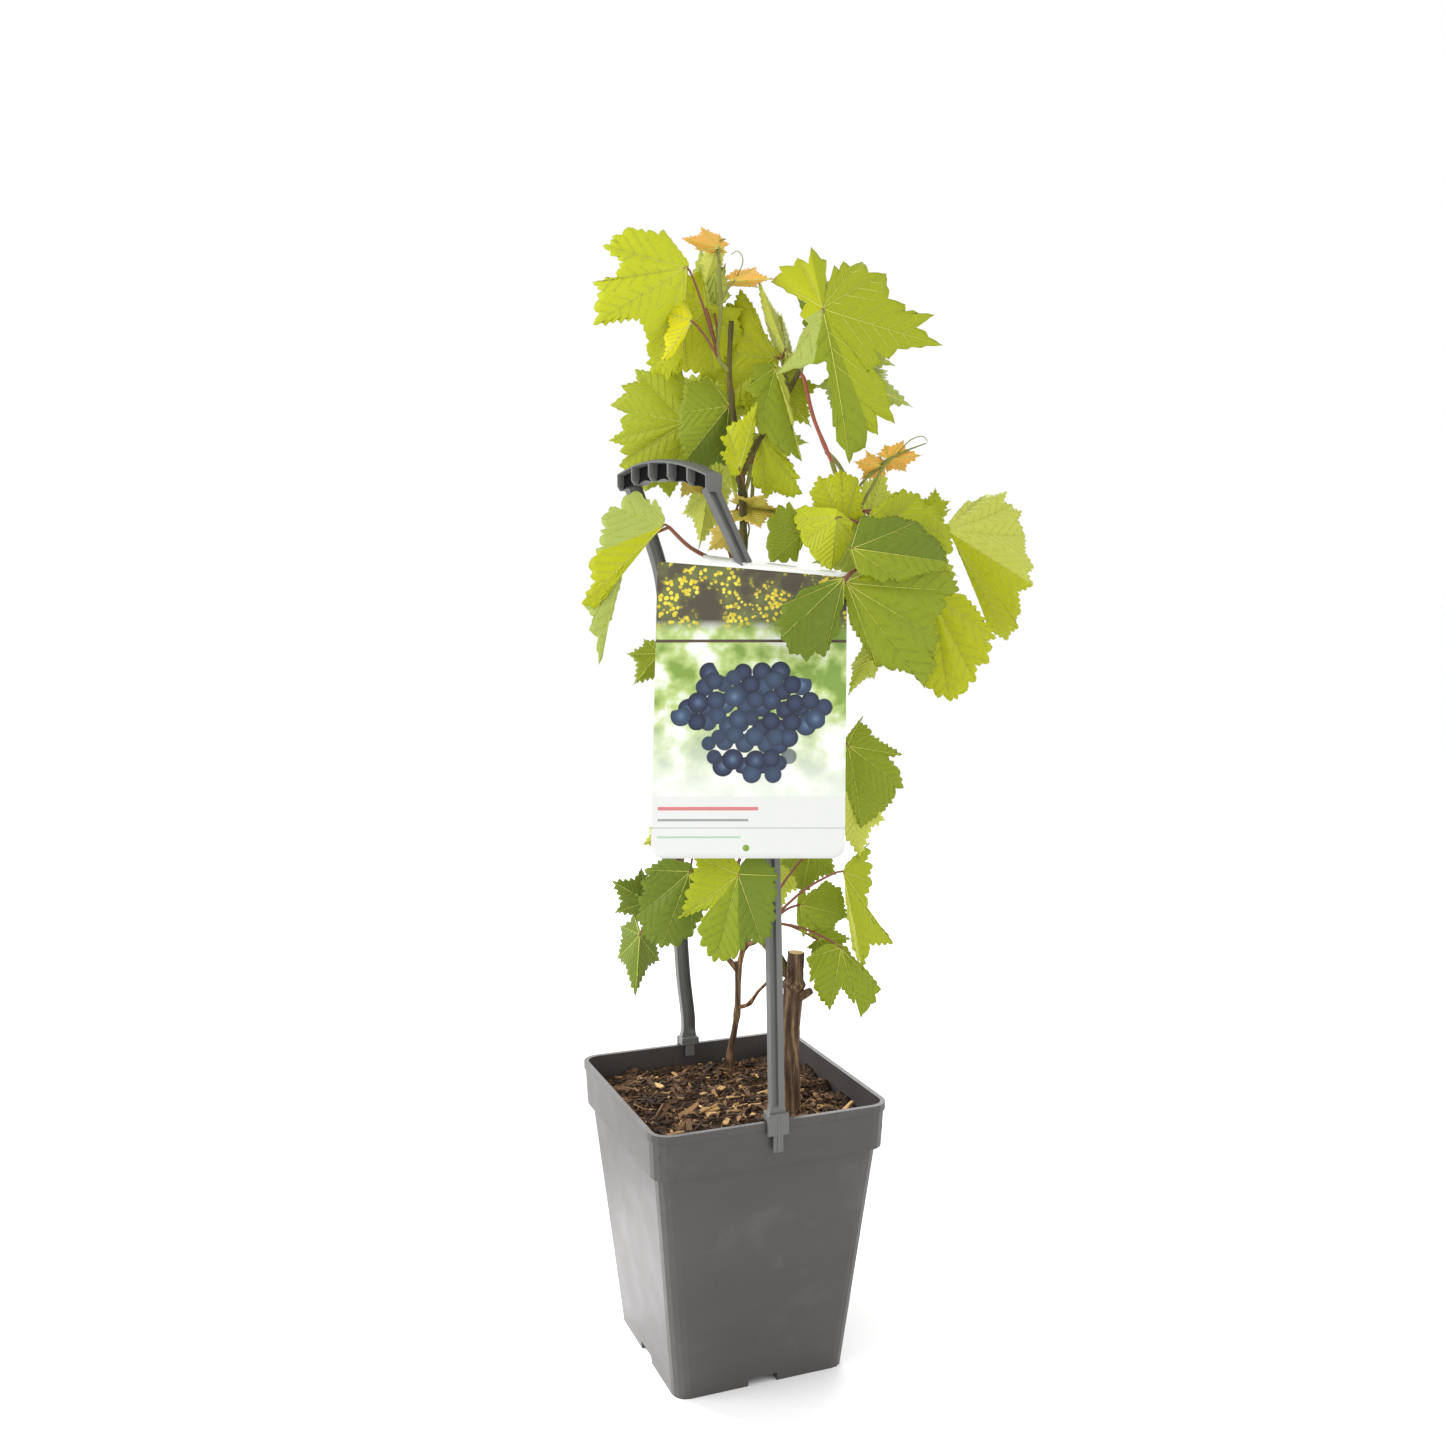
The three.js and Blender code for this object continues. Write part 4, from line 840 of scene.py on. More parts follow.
                [90, 269], [90.5, 272], [85, 278], [86, 283], [84, 288], [89, 296, 1], [86, 300],
                [88.5, 306.5], [84, 309], [87.5, 316], [84, 318], [88, 322, 1]],
            "sinus": [72, 307]}],
        ["mid", 0.2, 50, 316, 4, 45, 288, 6, 0, 25, 25, 0.2],
        ["mid", 1, 44, 282, -14, 73, 275, -18, 0, 10, 12, 0.4, {
            "right_edge": [[70, 273], [67, 272], [64, 268], [58, 264, 1], [54, 268], [50, 262], [49, 270],
                [45, 262, 1], [43, 268], [41, 271]],
            "left_edge": [[71, 280], [71, 285], [70, 288], [69, 293], [66, 293], [60, 297.5, 1], [55, 292],
                [52, 292], [48, 288], [43, 291]],
            "sinus": [42, 284]}],
        ["mid", 0.3, 69, 255, -26, 82, 210, -28, 0, 15, 12, 0.3, {
            "right_edge": [[78.5, 225], [77, 219.5], [69, 231], [62, 214, 1], [59, 220], [56.5, 220.5],
                [55, 226], [52, 229], [53, 235], [49.5, 232.5], [50, 241], [47, 247.5, 1], [55, 254],
                [60, 257]],
            "left_edge": [[84, 213], [87, 217], [88, 219], [91.5, 220.5], [91, 225], [95, 228, 1],
                [88, 238], [82, 245], [76, 250], [73, 256]],
            "sinus": [68, 257], "depth": 0.5}],
        ["mid", 0.3, 55, 260, 0, 75, 261, 0, 0, 40, 25, 0.3],
    ]),
    "foliage_low_centre": ([[13.5, 322, 4.5], [9, 318, -30], [6, 309, -66]], [
        [[(-18, "deep"), (24, "mid"), (180, "fresh")], 1, 6, 301, -75, -9, 246, -77, 0, -15, 8, 0.3, {
            "right_edge": [[-11, 250], [-13.5, 251], [-14, 256], [-18, 257], [-17, 262], [-20, 267],
                [-10, 282], [-33, 272.5, 1], [-27, 277], [-30, 279.5], [-26, 285], [-28, 289], [-22, 296],
                [-25, 300], [-20, 305], [-22, 312, 1], [-10, 314], [-2, 318]],
            "left_edge": [[-5, 249], [-2, 247.5], [3, 250], [5, 249.5], [8, 255], [11, 256], [12, 263],
                [22, 259, 1], [24, 264], [27, 264.5], [27, 272], [30, 275], [28, 284], [31, 290],
                [28, 296], [31, 300, 1], [24, 308], [18, 316]],
            "sinus": [6, 306]}],
    ]),
    "foliage_low_left": ([[12, 345, 5.5], [-4, 338, -10], [-20, 322, -30]], [
        ["deep", 1, -24, 303, -44, -42, 255, -48, 0, 15, 15, 0.4, {
            "right_edge": [[-46, 260], [-48, 257.5], [-52, 262], [-55, 261.5], [-54, 268], [-59, 273, 1],
                [-55, 280], [-57, 285], [-52, 290], [-55, 296], [-50, 300], [-53, 304, 1], [-45, 308],
                [-40, 312]],
            "left_edge": [[-36, 258], [-31, 256], [-28, 261], [-22, 262, 1], [-20, 270], [-16, 273],
                [-16, 282], [-10, 288, 1]],
            "sinus": [-24, 308]}],
        ["deep", 0.9, -50, 284, -26, -72, 297, -28, 0, 30, 30, 0.3],
        ["deep", 0.9, -55, 263, -32, -58, 225, -36, 0, 60, 58, 0.3],
        ["pale", 0.6, -40, 326, -10, -52, 320, -10, 0, 30, 30, 0.2],
    ]),
    "foliage_middle_back": ([[6.4, 425, 22.5], [2, 428, 34], [-4, 432, 42]], [
        ["mid", 0.5, -42, 437, 26, -57, 419, 20, 0, 30, 30, 0.3],
        ["fresh", 1, -8, 434, 46, -26, 462, 70, 180, 15, 15, 0.4],
        ["bright", 0.8, 6, 426, 46, 32, 446, 72, 180, 15, 15, 0.4],
        ["mid", 0.4, 14, 404, 40, 44, 384, 54, 180, 15, 15, 0.4],
    ]),
    "foliage_upper_back": ([[8.2, 514, 3], [12, 520, 24], [14, 540, 38], [10, 566, 46]], [
        ["fresh", 0.9, 4, 582, 48, -28, 600, 68, 180, 12, 12, 0.4],
        ["bright", 1, 16, 580, 48, 34, 608, 68, 180, 12, 12, 0.4],
        ["mid", 0.8, 18, 566, 46, 32, 540, 66, 180, 12, 12, 0.4],
        ["fresh", 0.7, -2, 560, 48, -22, 540, 74, 180, 12, 12, 0.4],
    ]),
    "foliage_right_back": ([[58, 557, -0.5], [66, 548, 14], [78, 524, 24], [90, 506, 28]], [
        ["fresh", 1, 96, 502, 34, 136, 484, 52, 180, 12, 12, 0.4],
        ["mid", 0.9, 86, 506, 36, 76, 464, 52, 180, 12, 12, 0.4],
        ["bright", 0.7, 84, 520, 34, 108, 526, 60, 180, 12, 12, 0.4],
    ]),
    "foliage_low_back": ([[14.5, 304, 34], [8, 302, 44], [0, 300, 50]], [
        ["fresh", 1, -2, 300, 52, -18, 278, 66, 180, 25, 25, 0.4],
        ["mid", 0.7, 8, 296, 54, 12, 268, 72, 180, 15, 15, 0.4],
        ["bright", 0.4, 24, 306, 40, 52, 296, 58, 180, 15, 15, 0.4],
    ]),
}


# Shoot tips and tendrils beyond the leaves: points, radii
SPRIGS = {
    "foliage_top_left": [
        ([[-6, 667, -3], [-7, 674, -3], [-5, 679, -2], [-2, 680, -2]], [0.9, 0.6, 0.35]),
        ([[-2, 650, -2], [4, 658, -2], [8, 668, -1], [5, 673, 0], [1, 671, 1]], [0.45, 0.3, 0.2]),
    ],
    "foliage_right": [
        ([[77, 521, -8], [86, 538, -6], [95, 552, -4], [104, 557, -3], [117, 562, -2]], [1.1, 0.9, 0.35]),
        ([[100, 556, -3], [108, 564, -4], [115, 566, -4], [118, 563, -4]], [0.4, 0.3, 0.2]),
    ],
    "foliage_middle_centre": [
        ([[9, 520, 4], [12, 512, 6], [10, 500, 5], [14, 490, 3], [13, 480, 2]], [0.6, 0.5, 0.3]),
    ],
}

# Masses whose stem is red like a petiole
RED_STEMS = ["foliage_left", "foliage_low_centre"]


def make_foliage(materials):
    rng = random.Random(11)
    number = 0
    for name, (stem, leaves) in MASSES.items():
        build = Build()
        stem = sight(stem)
        finish = PETIOLE_FINISH if name in RED_STEMS else STEM_FINISH
        limb(build, stem, [1.5, 1.1], 10, 8 * len(stem), finish)
        roots = curve(stem, 201)
        for row in leaves:
            number += 1
            leaf = place_leaf(row, number)
            add_petiole(build, leaf, roots[round(leaf["root"] * 200)].copy())
            add_blade(build, leaf, rng)
            add_veins(build, leaf)
        for points, radii in SPRIGS.get(name, ()):
            limb(build, sight(points), radii, 8, 24, STEM_FINISH)
        build.piece(f"{name}_leaves", materials, [name])


KNOT_SIZE, KNOT_RUN = 0.28, 2.6


def bark_relief(rough, steps, knots):
    """How a limb's radius swells at its knots and along the fibres and flakes of its bark."""
    def swell(t, angle, centre):
        knot = sum(KNOT_SIZE * math.exp(-((t - k) * steps / KNOT_RUN) ** 2) for k in knots)
        fibre = noise.noise(Vector((math.cos(angle) * 3, math.sin(angle) * 3, centre[2] * 0.035)))
        flake = noise.noise(Vector((math.cos(angle) * 2, math.sin(angle) * 2, centre[2] * 0.3)))
        return 1 + knot + rough * (fibre + 0.6 * flake)
    return swell


def make_limbs():
    tan = srgb(176, 146, 104)
    barks = {
        "old": bark_material("old_bark", srgb(54, 40, 30), srgb(92, 70, 52), srgb(150, 122, 88), 60),
        "cane": bark_material("cane_bark", srgb(62, 58, 26), srgb(92, 86, 42), srgb(126, 104, 58), 50),
        "brown": bark_material("brown_bark", srgb(70, 46, 28), srgb(122, 84, 52), tan, 70),
        "shoot": mottled("shoot_skin", srgb(160, 84, 66), 0.5, spread=0.16),
    }
    for name, (kind, rough, sides, steps, radii, knots, route) in LIMBS.items():
        build = Build()
        materials = [barks[kind]]
        limb(build, sight(route), radii, sides, steps, 0, bark_relief(rough, steps, knots))
        for spur, *settings in SPURS.get(name, ()):
            limb(build, sight(spur), *settings)
        if name == "stump":
            materials.append(mottled("cut_wood", srgb(206, 176, 126), 0.8, grain=500, spread=0.12))
        build.piece(f"{name}_bark", materials, [name])


# The handle

# Routes of [x, z, depth] as seen, sections across them in half widths and half heights, and shares of the
# length where the section changes. The third number of the grip's section is how far a pocket draws it in
FRONT_LEG = [[28, 240, -66], [26.5, 300, -61], [23, 420, -46], [20.5, 462, -41], [8, 493, -36],
             [-11.5, 536, -26]]
BACK_LEG = [[-28.5, 240, 66], [-33, 330, 56], [-37, 420, 46], [-40, 480, 38], [-46.5, 505, 33],
            [-57.5, 537, 24]]
GRIP = [[-62, 539, 29], [-50, 544, 16], [-36, 546, 0], [-22, 544, -15], [-9, 539, -29]]
LEG_HALF = [(-1, -1), (-0.86, -1), (-0.78, -0.15), (0.02, -0.15), (0.1, -1), (1, -1)]
LEG_PROFILE = LEG_HALF + [(x, -y) for x, y in reversed(LEG_HALF)]
GRIP_HALF = [(0.7, -1, 0.5), (1, -0.5, 1), (1, 0.58, 1), (1.02, 0.68, 0), (0.97, 0.86, 0), (0.6, 1, 0)]
GRIP_LEFT = [(-x, z, inset) for x, z, inset in reversed(GRIP_HALF)]
GRIP_PROFILE = GRIP_LEFT[-2:] + GRIP_HALF + [(0, 1.04, 0)] + GRIP_LEFT[:-2]
# Sides of the grip's section whose faces in a pocket get near-black plastic as painted shade
SHADED_POCKET_SIDES = (0, 2, 3, 12)
LEG_STEPS, GRIP_STEPS = 90, 120
FOOT_TAPER, HEAD_START, HEAD_FLARE = 0.09, 0.9, 2
WEB_START, WEB_RUN = 0.06, 0.03
GRIP_END_WIDTH, GRIP_END_HEIGHT = 0.75, 0.85
SCALLOP_DEPTH, POCKET_DEPTH = 0.22, 0.62
CLIP_THICKNESS, TONGUE_THICKNESS, TONGUE_RIB, RIB_THICKNESS = 2.5, 2.2, 1.6, 1.4
BRIDGE_HEIGHT = 5


def add_leg(build, route, side, grip_side):
    start = [[0, side * (RIM_HALF - 1), POT_HEIGHT + 3], [0, side * (RIM_HALF - 1.5), POT_HEIGHT + 16]]
    centres = curve(np.vstack([start, from_view(sight(route))]), LEG_STEPS + 1)
    tangents = np.gradient(centres, axis=0)
    straight = np.array([1.0, 0, 0])
    turned = grip_side * (1 if grip_side[0] > 0 else -1)
    outward = -side
    rings = []
    for t, centre, tangent in zip(np.linspace(0, 1, LEG_STEPS + 1), centres, tangents):
        tangent = unit(tangent)
        across = straight * (1 - t) + turned * t
        across = unit(across - tangent * across.dot(tangent))
        out = np.cross(tangent, across)
        foot_share = max(0, 1 - t / FOOT_TAPER) ** 1.5
        head_share = max(0, (t - HEAD_START) / (1 - HEAD_START))
        width = LEG_WIDTH + (FOOT_WIDTH - LEG_WIDTH) * foot_share + HEAD_FLARE * head_share
        depth = min(1, max(0, (t - WEB_START) / WEB_RUN))
        ring = []
        for x, y in LEG_PROFILE:
            y = y if abs(y) == 1 else math.copysign(1 - (1 - abs(y)) * depth, y)
            ring.append(centre + across * x * outward * width / 2 + out * y * outward * LEG_THICKNESS / 2)
        rings.append(np.array(ring))
    loft(build, rings)


def add_grip(build, line, grip_side):
    """The moulded grip: a domed top over pockets between cross ribs, with finger scallops below. The pocket
    faces take a near-black plastic as painted shade.
    """
    rings, painted_shade_faces = [], []
    for t, centre in zip(np.linspace(0, 1, GRIP_STEPS + 1), curve(line, GRIP_STEPS + 1)):
        swell = math.sin(math.pi * t)
        width = GRIP_WIDTH / 2 * (GRIP_END_WIDTH + (1 - GRIP_END_WIDTH) * swell)
        height = GRIP_HEIGHT / 2 * (GRIP_END_HEIGHT + (1 - GRIP_END_HEIGHT) * swell)
        phase = FINGER_GROOVES * math.pi * t
        scallop = 1 - SCALLOP_DEPTH * math.sin(phase) ** 2
        pocket = POCKET_DEPTH * min(1, max(0, (abs(math.sin(phase)) - 0.2) * 6))
        # Faces deep in a pocket are marked for the near-black plastic, painted shade
        painted_shade_faces += [int(pocket > 0.3 and side in SHADED_POCKET_SIDES) for side in range(len(GRIP_PROFILE))]
        ring = []
        for x, z, inset in GRIP_PROFILE:
            ring.append(centre + grip_side * x * width * (1 - inset * pocket)
                        + np.array([0, 0, (z * scallop if z < 0 else z) * height]))
        rings.append(np.array(ring))
    loft(build, rings, painted_shade_faces[:-len(GRIP_PROFILE)] + [0] * 2 * len(GRIP_PROFILE))


def add_box(build, size, centre, chamfer=0.35):
    """A box with chamfered edges, made as a loft along z."""
    x, y, z = (s / 2 for s in size)

    def ring(level, inset):
        cx, cy, c = x - inset, y - inset, chamfer
        corners = [(cx, -cy + c), (cx, cy - c), (cx - c, cy), (-cx + c, cy)]
        corners += [(-px, -py) for px, py in corners]
        return np.array([[px, py, level] for px, py in corners]) + centre

    loft(build, [ring(-z, chamfer), ring(-z + chamfer, 0), ring(z - chamfer, 0), ring(z, chamfer)])


def make_handle(plastics):
    build = Build()
    line = from_view(sight(GRIP))
    direction = unit((line[4] - line[0]) * [1, 1, 0])
    grip_side = np.array([-direction[1], direction[0], 0])
    add_grip(build, line, grip_side)
    base = POT_HEIGHT + GAP
    for route, side in ((FRONT_LEG, -1), (BACK_LEG, 1)):
        add_leg(build, route, side, grip_side)
        outer = side * (RIM_HALF + GAP + CLIP_THICKNESS / 2)
        inner = side * (INNER_TONGUE_Y - GAP - CLIP_THICKNESS / 2)
        bridge = abs(outer - inner) + CLIP_THICKNESS
        for width, thickness, height, y, top in (
                (FOOT_WIDTH, bridge, BRIDGE_HEIGHT, (outer + inner) / 2, BRIDGE_HEIGHT),
                (FOOT_WIDTH + 1, CLIP_THICKNESS, CLIP_DROP + 4.6, outer + side * 0.15, 4.7),
                (TONGUE_WIDTH, TONGUE_THICKNESS, TONGUE_DROP + 4, outer, 4),
                (TONGUE_WIDTH, TONGUE_THICKNESS, TONGUE_DROP - 6, inner + side * 0.1, 4.4),
                (TONGUE_RIB, RIB_THICKNESS, TONGUE_DROP + 3, outer + side * 1.2, 3)):
            add_box(build, (width, thickness, height), [0, y, base + top - height / 2])
    build.piece("handle_moulding", plastics, ["handle"], in_view=False, smooth=False)


# The label

CARD_TOP_DEPTH = -44
CARD_FOOT_DEPTH = -82
CARD_TOP_LEFT = [-43, 492]
CARD_TOP_RIGHT = [73, 482]
CARD_FOOT_LEFT = [-48, 311]
CARD_FOOT_RIGHT = [71, 311]
CARD_THICKNESS = 0.8
CARD_CORNER = 7
CARD_BOW, CARD_CURL = 0.8, 0.6
CARD_ROWS = 40
FLAP_DEPTH, FLAP_THICKNESS, FLAP_CREST = 16, 0.7, 1.2
FLAP_START, FLAP_LEAN = 0.2, 0.04
TAB_SPAN, TAB_DROP, TAB_LIFTS = (0.5, 0.545, 0.55), 13, (1.3, 1.7)

# The print: its centimetres across and up, then shares of the card's width u and height v
PRINT_SIZE = (11.6, 18.1)
BAND_FOOT = 0.78
LINE_SPAN = (0.722, 0.732)
DISCS_SPAN = (0.27, 0.64)
DISCS_HALF = 0.4
DISC_SHIFTS = (0.58, 0)
FOOT_TOP = 0.205
RULE_SPAN = (0.098, 0.102)
BARS = [((0.158, 0.17), 0.55, (196, 70, 76)), ((0.122, 0.13), 0.5, (120, 122, 124)),
        ((0.066, 0.073), 0.46, (150, 190, 150))]
BAR_START = 0.03
SPOT_PLACE = (0.49, 0.034)
SPOT_RADIUS = 2


class Print(Nodes):
    """The nodes of the print, with masks over the card's width u and height v."""

    def __init__(self, name):
        super().__init__(name, 0.35, 0.5)
        uv = self.node("ShaderNodeTexCoord").outputs["UV"]
        self.u, self.v = self.parts(uv)
        self.size = self.mapped(uv, Scale=(*PRINT_SIZE, 1))
        clouds = self.node("ShaderNodeTexNoise", Scale=0.5, Detail=3.0)
        self.join(self.size, clouds.inputs["Vector"])
        self.clouds = clouds.outputs["Fac"]

    def parts(self, vector):
        made = self.node("ShaderNodeSeparateXYZ")
        self.join(vector, made.inputs[0])
        return made.outputs["X"], made.outputs["Y"]

    def mapped(self, vector, **settings):
        made = self.node("ShaderNodeMapping", **settings)
        self.join(vector, made.inputs["Vector"])
        return made.outputs["Vector"]

    def cells(self, scale, randomness, shift=0.0):
        made = self.node("ShaderNodeTexVoronoi", Scale=scale, Randomness=randomness)
        self.join(self.mapped(self.size, Location=(shift, shift * 0.7, 0)), made.inputs["Vector"])
        return made.outputs["Distance"], made.outputs["Color"], made.outputs["Position"]

    def inks(self, value, *stops):
        return self.ramp(value, *((place, srgb(*ink)) for place, ink in stops))

    def above(self, value, edge, soft=0.002):
        made = self.node("ShaderNodeMapRange", **{"From Min": edge - soft, "From Max": edge + soft})
        self.join(value, made.inputs["Value"])
        return made.outputs["Result"]

    def no(self, mask):
        return self.math("SUBTRACT", 1.0, mask)

    def both(self, a, b):
        return self.math("MULTIPLY", a, b)

    def between(self, value, low, high, soft=0.002):
        return self.both(self.above(value, low, soft), self.no(self.above(value, high, soft)))

    def away(self, value, middle):
        return self.math("ABSOLUTE", self.math("SUBTRACT", value, middle))


def print_ground(nodes):
    """Soft greens that pale toward the foot."""
    greens = [(0.38, (232, 236, 226)), (0.5, (176, 196, 120)), (0.62, (120, 150, 60))]
    fade = nodes.inks(nodes.v, (0.24, (255, 255, 255)), (0.5, (0, 0, 0)))
    return nodes.mix(nodes.both(fade, 0.75), nodes.inks(nodes.clouds, *greens), srgb(230, 232, 232))


def print_band(nodes, colour):
    """A dark band with yellow dots, and a thin line below it."""
    band = nodes.above(nodes.v, BAND_FOOT, 0.02)
    dark = nodes.inks(nodes.clouds, (0.4, (74, 66, 52)), (0.6, (104, 110, 62)))
    dots, tint, _ = nodes.cells(3.4, 1.0)
    clumps = nodes.both(band, nodes.above(nodes.clouds, 0.47, 0.03))
    wanted = nodes.both(clumps, nodes.no(nodes.above(dots, 0.42, 0.04)))
    yellow = nodes.inks(tint, (0.2, (196, 176, 40)), (0.8, (232, 214, 70)))
    colour = nodes.mix(wanted, nodes.mix(band, colour, dark), yellow)
    return nodes.mix(nodes.between(nodes.v, *LINE_SPAN), colour, srgb(74, 52, 46))


def print_discs(nodes, colour, shift):
    """Blue-black discs, gathered in a wedge in the middle of the card."""
    discs, tint, place = nodes.cells(0.86, 0.4, shift)
    x, y = nodes.parts(place)
    u = nodes.math("DIVIDE", nodes.math("SUBTRACT", x, shift), PRINT_SIZE[0])
    v = nodes.math("DIVIDE", nodes.math("SUBTRACT", y, shift * 0.7), PRINT_SIZE[1])
    wedge = nodes.math("ADD", nodes.away(u, 0.5), nodes.math("MULTIPLY", nodes.away(v, 0.5), 1.2))
    field = nodes.both(nodes.no(nodes.above(wedge, DISCS_HALF)), nodes.between(v, *DISCS_SPAN))
    ball = nodes.inks(discs, (0.0, (104, 128, 156)), (0.24, (52, 68, 98)), (0.5, (22, 26, 46)))
    ball = nodes.mix(0.25, ball, nodes.inks(tint, (0.3, (30, 34, 60)), (0.7, (70, 96, 120))))
    return nodes.mix(nodes.both(field, nodes.no(nodes.above(discs, 0.55, 0.02))), colour, ball)


def print_foot(nodes, colour):
    """A pale foot with a rule, plain bars and a green spot."""
    foot = nodes.no(nodes.above(nodes.v, FOOT_TOP))
    colour = nodes.mix(nodes.both(foot, 0.92), colour, srgb(212, 213, 211))
    colour = nodes.mix(nodes.between(nodes.v, *RULE_SPAN, 0.0006), colour, srgb(180, 182, 182))
    for span, end, ink in BARS:
        bar = nodes.both(nodes.between(nodes.v, *span, 0.001), nodes.between(nodes.u, BAR_START, end))
        colour = nodes.mix(nodes.both(bar, 0.8), colour, srgb(*ink))
    squares = []
    for value, place, cell in zip((nodes.u, nodes.v), SPOT_PLACE, PRINT_SIZE):
        side = nodes.math("MULTIPLY", nodes.math("SUBTRACT", value, place), cell * 10)
        squares.append(nodes.both(side, side))
    spot = nodes.math("SQRT", nodes.math("ADD", *squares))
    return nodes.mix(nodes.no(nodes.above(spot, SPOT_RADIUS, 0.1)), colour, srgb(120, 150, 50))


def print_material():
    """A plain printed pattern: a yellow-dotted dark band, greens, blue-black discs and a pale foot."""
    nodes = Print("label_print")
    colour = print_band(nodes, print_ground(nodes))
    for shift in DISC_SHIFTS:
        colour = print_discs(nodes, colour, shift)
    nodes.colour(print_foot(nodes, colour))
    return nodes.material


def make_card(white):
    top_left, top_right = (sight([*place, CARD_TOP_DEPTH]) for place in (CARD_TOP_LEFT, CARD_TOP_RIGHT))
    foot_left, foot_right = (sight([*place, CARD_FOOT_DEPTH]) for place in (CARD_FOOT_LEFT, CARD_FOOT_RIGHT))
    up, right = top_left - foot_left, foot_right - foot_left
    height, width = np.linalg.norm(up), np.linalg.norm(right)
    up, right = unit(up), unit(right)
    out = unit(np.cross(right, up))
    top = top_right - top_left
    slope = (height - (top_right - foot_right).dot(up)) / width

    # The sheet, bowed across and curled toward its top
    corner = [CARD_CORNER * (1 - math.cos(a)) for a in np.linspace(0, math.pi / 2, 9)]
    middle = np.linspace(CARD_CORNER, width - CARD_CORNER, 24)[1:-1]
    flat, points = [], []
    for x in [*corner, *middle, *(width - c for c in reversed(corner))]:
        inset = max(0, CARD_CORNER - min(x, width - x))
        low, high = CARD_CORNER - math.sqrt(max(0, CARD_CORNER ** 2 - inset ** 2)), height - slope * x
        for y in np.linspace(low, high, CARD_ROWS + 1):
            bow = CARD_BOW * math.sin(math.pi * x / width) - CARD_CURL * (y / height) ** 3
            flat.append((x / width, y / height))
            points.append(foot_left + right * x + up * y + out * (CARD_THICKNESS + bow))
    points = np.array(points)
    grid = np.arange(len(points)).reshape(-1, CARD_ROWS + 1).tolist()
    faces = [(here[j], beside[j], beside[j + 1], here[j + 1])
             for here, beside in zip(grid, grid[1:]) for j in range(CARD_ROWS)]
    border = [row[0] for row in grid] + grid[-1][1:] + [row[-1] for row in grid[-2::-1]] + grid[0][-2:0:-1]
    build = Build()
    finishes = [0] * len(faces) + [1] * (len(faces) + len(border))
    sheet(build, points, points - out * CARD_THICKNESS, faces, border, finishes)

    # The flap folded back from its top edge, and the small tab in front
    reach_back = unit(np.array([0, 1, 0.42])) * FLAP_DEPTH
    rings = []
    for share in np.linspace(0, 1, 13):
        spot = 1 - (1 - FLAP_START) * (1 - share)
        start, end = top_left + top * spot, top_left + top * (spot + FLAP_LEAN * (1 - share))
        end += reach_back * (1 - 0.5 * share)
        crest = (start + end) / 2 + np.array([0, 0, FLAP_CREST * math.sin(math.pi * share)])
        ring = [start, crest, end]
        rings.append(np.array([*ring, *(p - [0, 0, FLAP_THICKNESS] for p in reversed(ring))]))
    loft(build, rings, 1)
    tab = np.array([top_left + top * share - up * drop for share, drop in zip(TAB_SPAN, (0, TAB_DROP, 0))])
    sheet(build, tab + out * TAB_LIFTS[1], tab + out * TAB_LIFTS[0], [(0, 1, 2)], [0, 1, 2], 1)
    obj = build.piece("hang_label", [print_material(), white], ["label_card"])
    layer = obj.data.uv_layers.new(name="print")
    flat += flat
    for loop in obj.data.loops:
        layer.data[loop.index].uv = flat[loop.vertex_index] if loop.vertex_index < len(flat) else (0.5, 0.1)


# The soil and the chips on it

SOIL_CELLS = 110
SOIL_DEPTH = 8
SWELL, MOUND, LUMP = 1.6, 3, 1.6

# Chips: how many, spans of length, width and height, and shares of the five colours
CHIP_COLOURS = [(46, 35, 27), (72, 54, 41), (102, 75, 54), (142, 110, 76), (188, 152, 104)]
CHIPS = [
    (1500, [(2, 6), (0.8, 2.6), (0.5, 1.5)], [0.34, 0.32, 0.2, 0.09, 0.05]),
    (150, [(8, 17), (1.6, 4.6), (0.6, 1.6)], [0.15, 0.25, 0.25, 0.2, 0.15]),
    (130, [(8, 20), (0.3, 0.6), (0.3, 0.6)], [0.1, 0.2, 0.3, 0.3, 0.1]),
]


def soil_height(x, y):
    bump = math.sin(x * 0.13 + 1) * math.cos(y * 0.11 - 0.5) + 0.6 * math.sin(x * 0.05 - y * 0.23)
    mounds = noise.noise(Vector((x * 0.09, y * 0.09, 0)))
    lumps = noise.noise(Vector((x * 0.35, y * 0.35, 4)))
    return SOIL_LEVEL + bump * SWELL + mounds * MOUND + lumps * LUMP


def make_soil():
    side, row = SOIL_HALF, SOIL_CELLS + 1
    spots = np.linspace(-side, side, row)
    points = [[x, y, soil_height(x, y)] for y in spots for x in spots]
    points += [[x * 0.99, y * 0.99, SOIL_LEVEL - SOIL_DEPTH] for y in (-side, side) for x in (-side, side)]
    faces = []
    for j in range(SOIL_CELLS):
        for a in range(j * row, j * row + SOIL_CELLS):
            faces.append((a, a + 1, a + row + 1, a + row))
    low = row ** 2
    edges = [range(row), range(row - 1, low, row),
             range(low - 1, low - row - 1, -1), range(low - row, -1, -row)]
    for edge, first, last in zip(edges, (low, low + 1, low + 3, low + 2), (low + 1, low + 3, low + 2, low)):
        faces.append((*reversed(edge), first, last))
    faces.append((low, low + 2, low + 3, low + 1))
    build = Build()
    build.add(points, faces)
    nodes = Nodes("compost", 0.95, 0.2)
    grains = nodes.noise(520, 6)
    crumbs = [(0.34, srgb(32, 24, 18)), (0.52, srgb(66, 50, 38)), (0.7, srgb(108, 84, 62))]
    nodes.colour(nodes.ramp(grains, *crumbs))
    nodes.bump(grains, 1.0, 0.0012)
    build.piece("soil_top", [nodes.material], ["soil"], in_view=False)


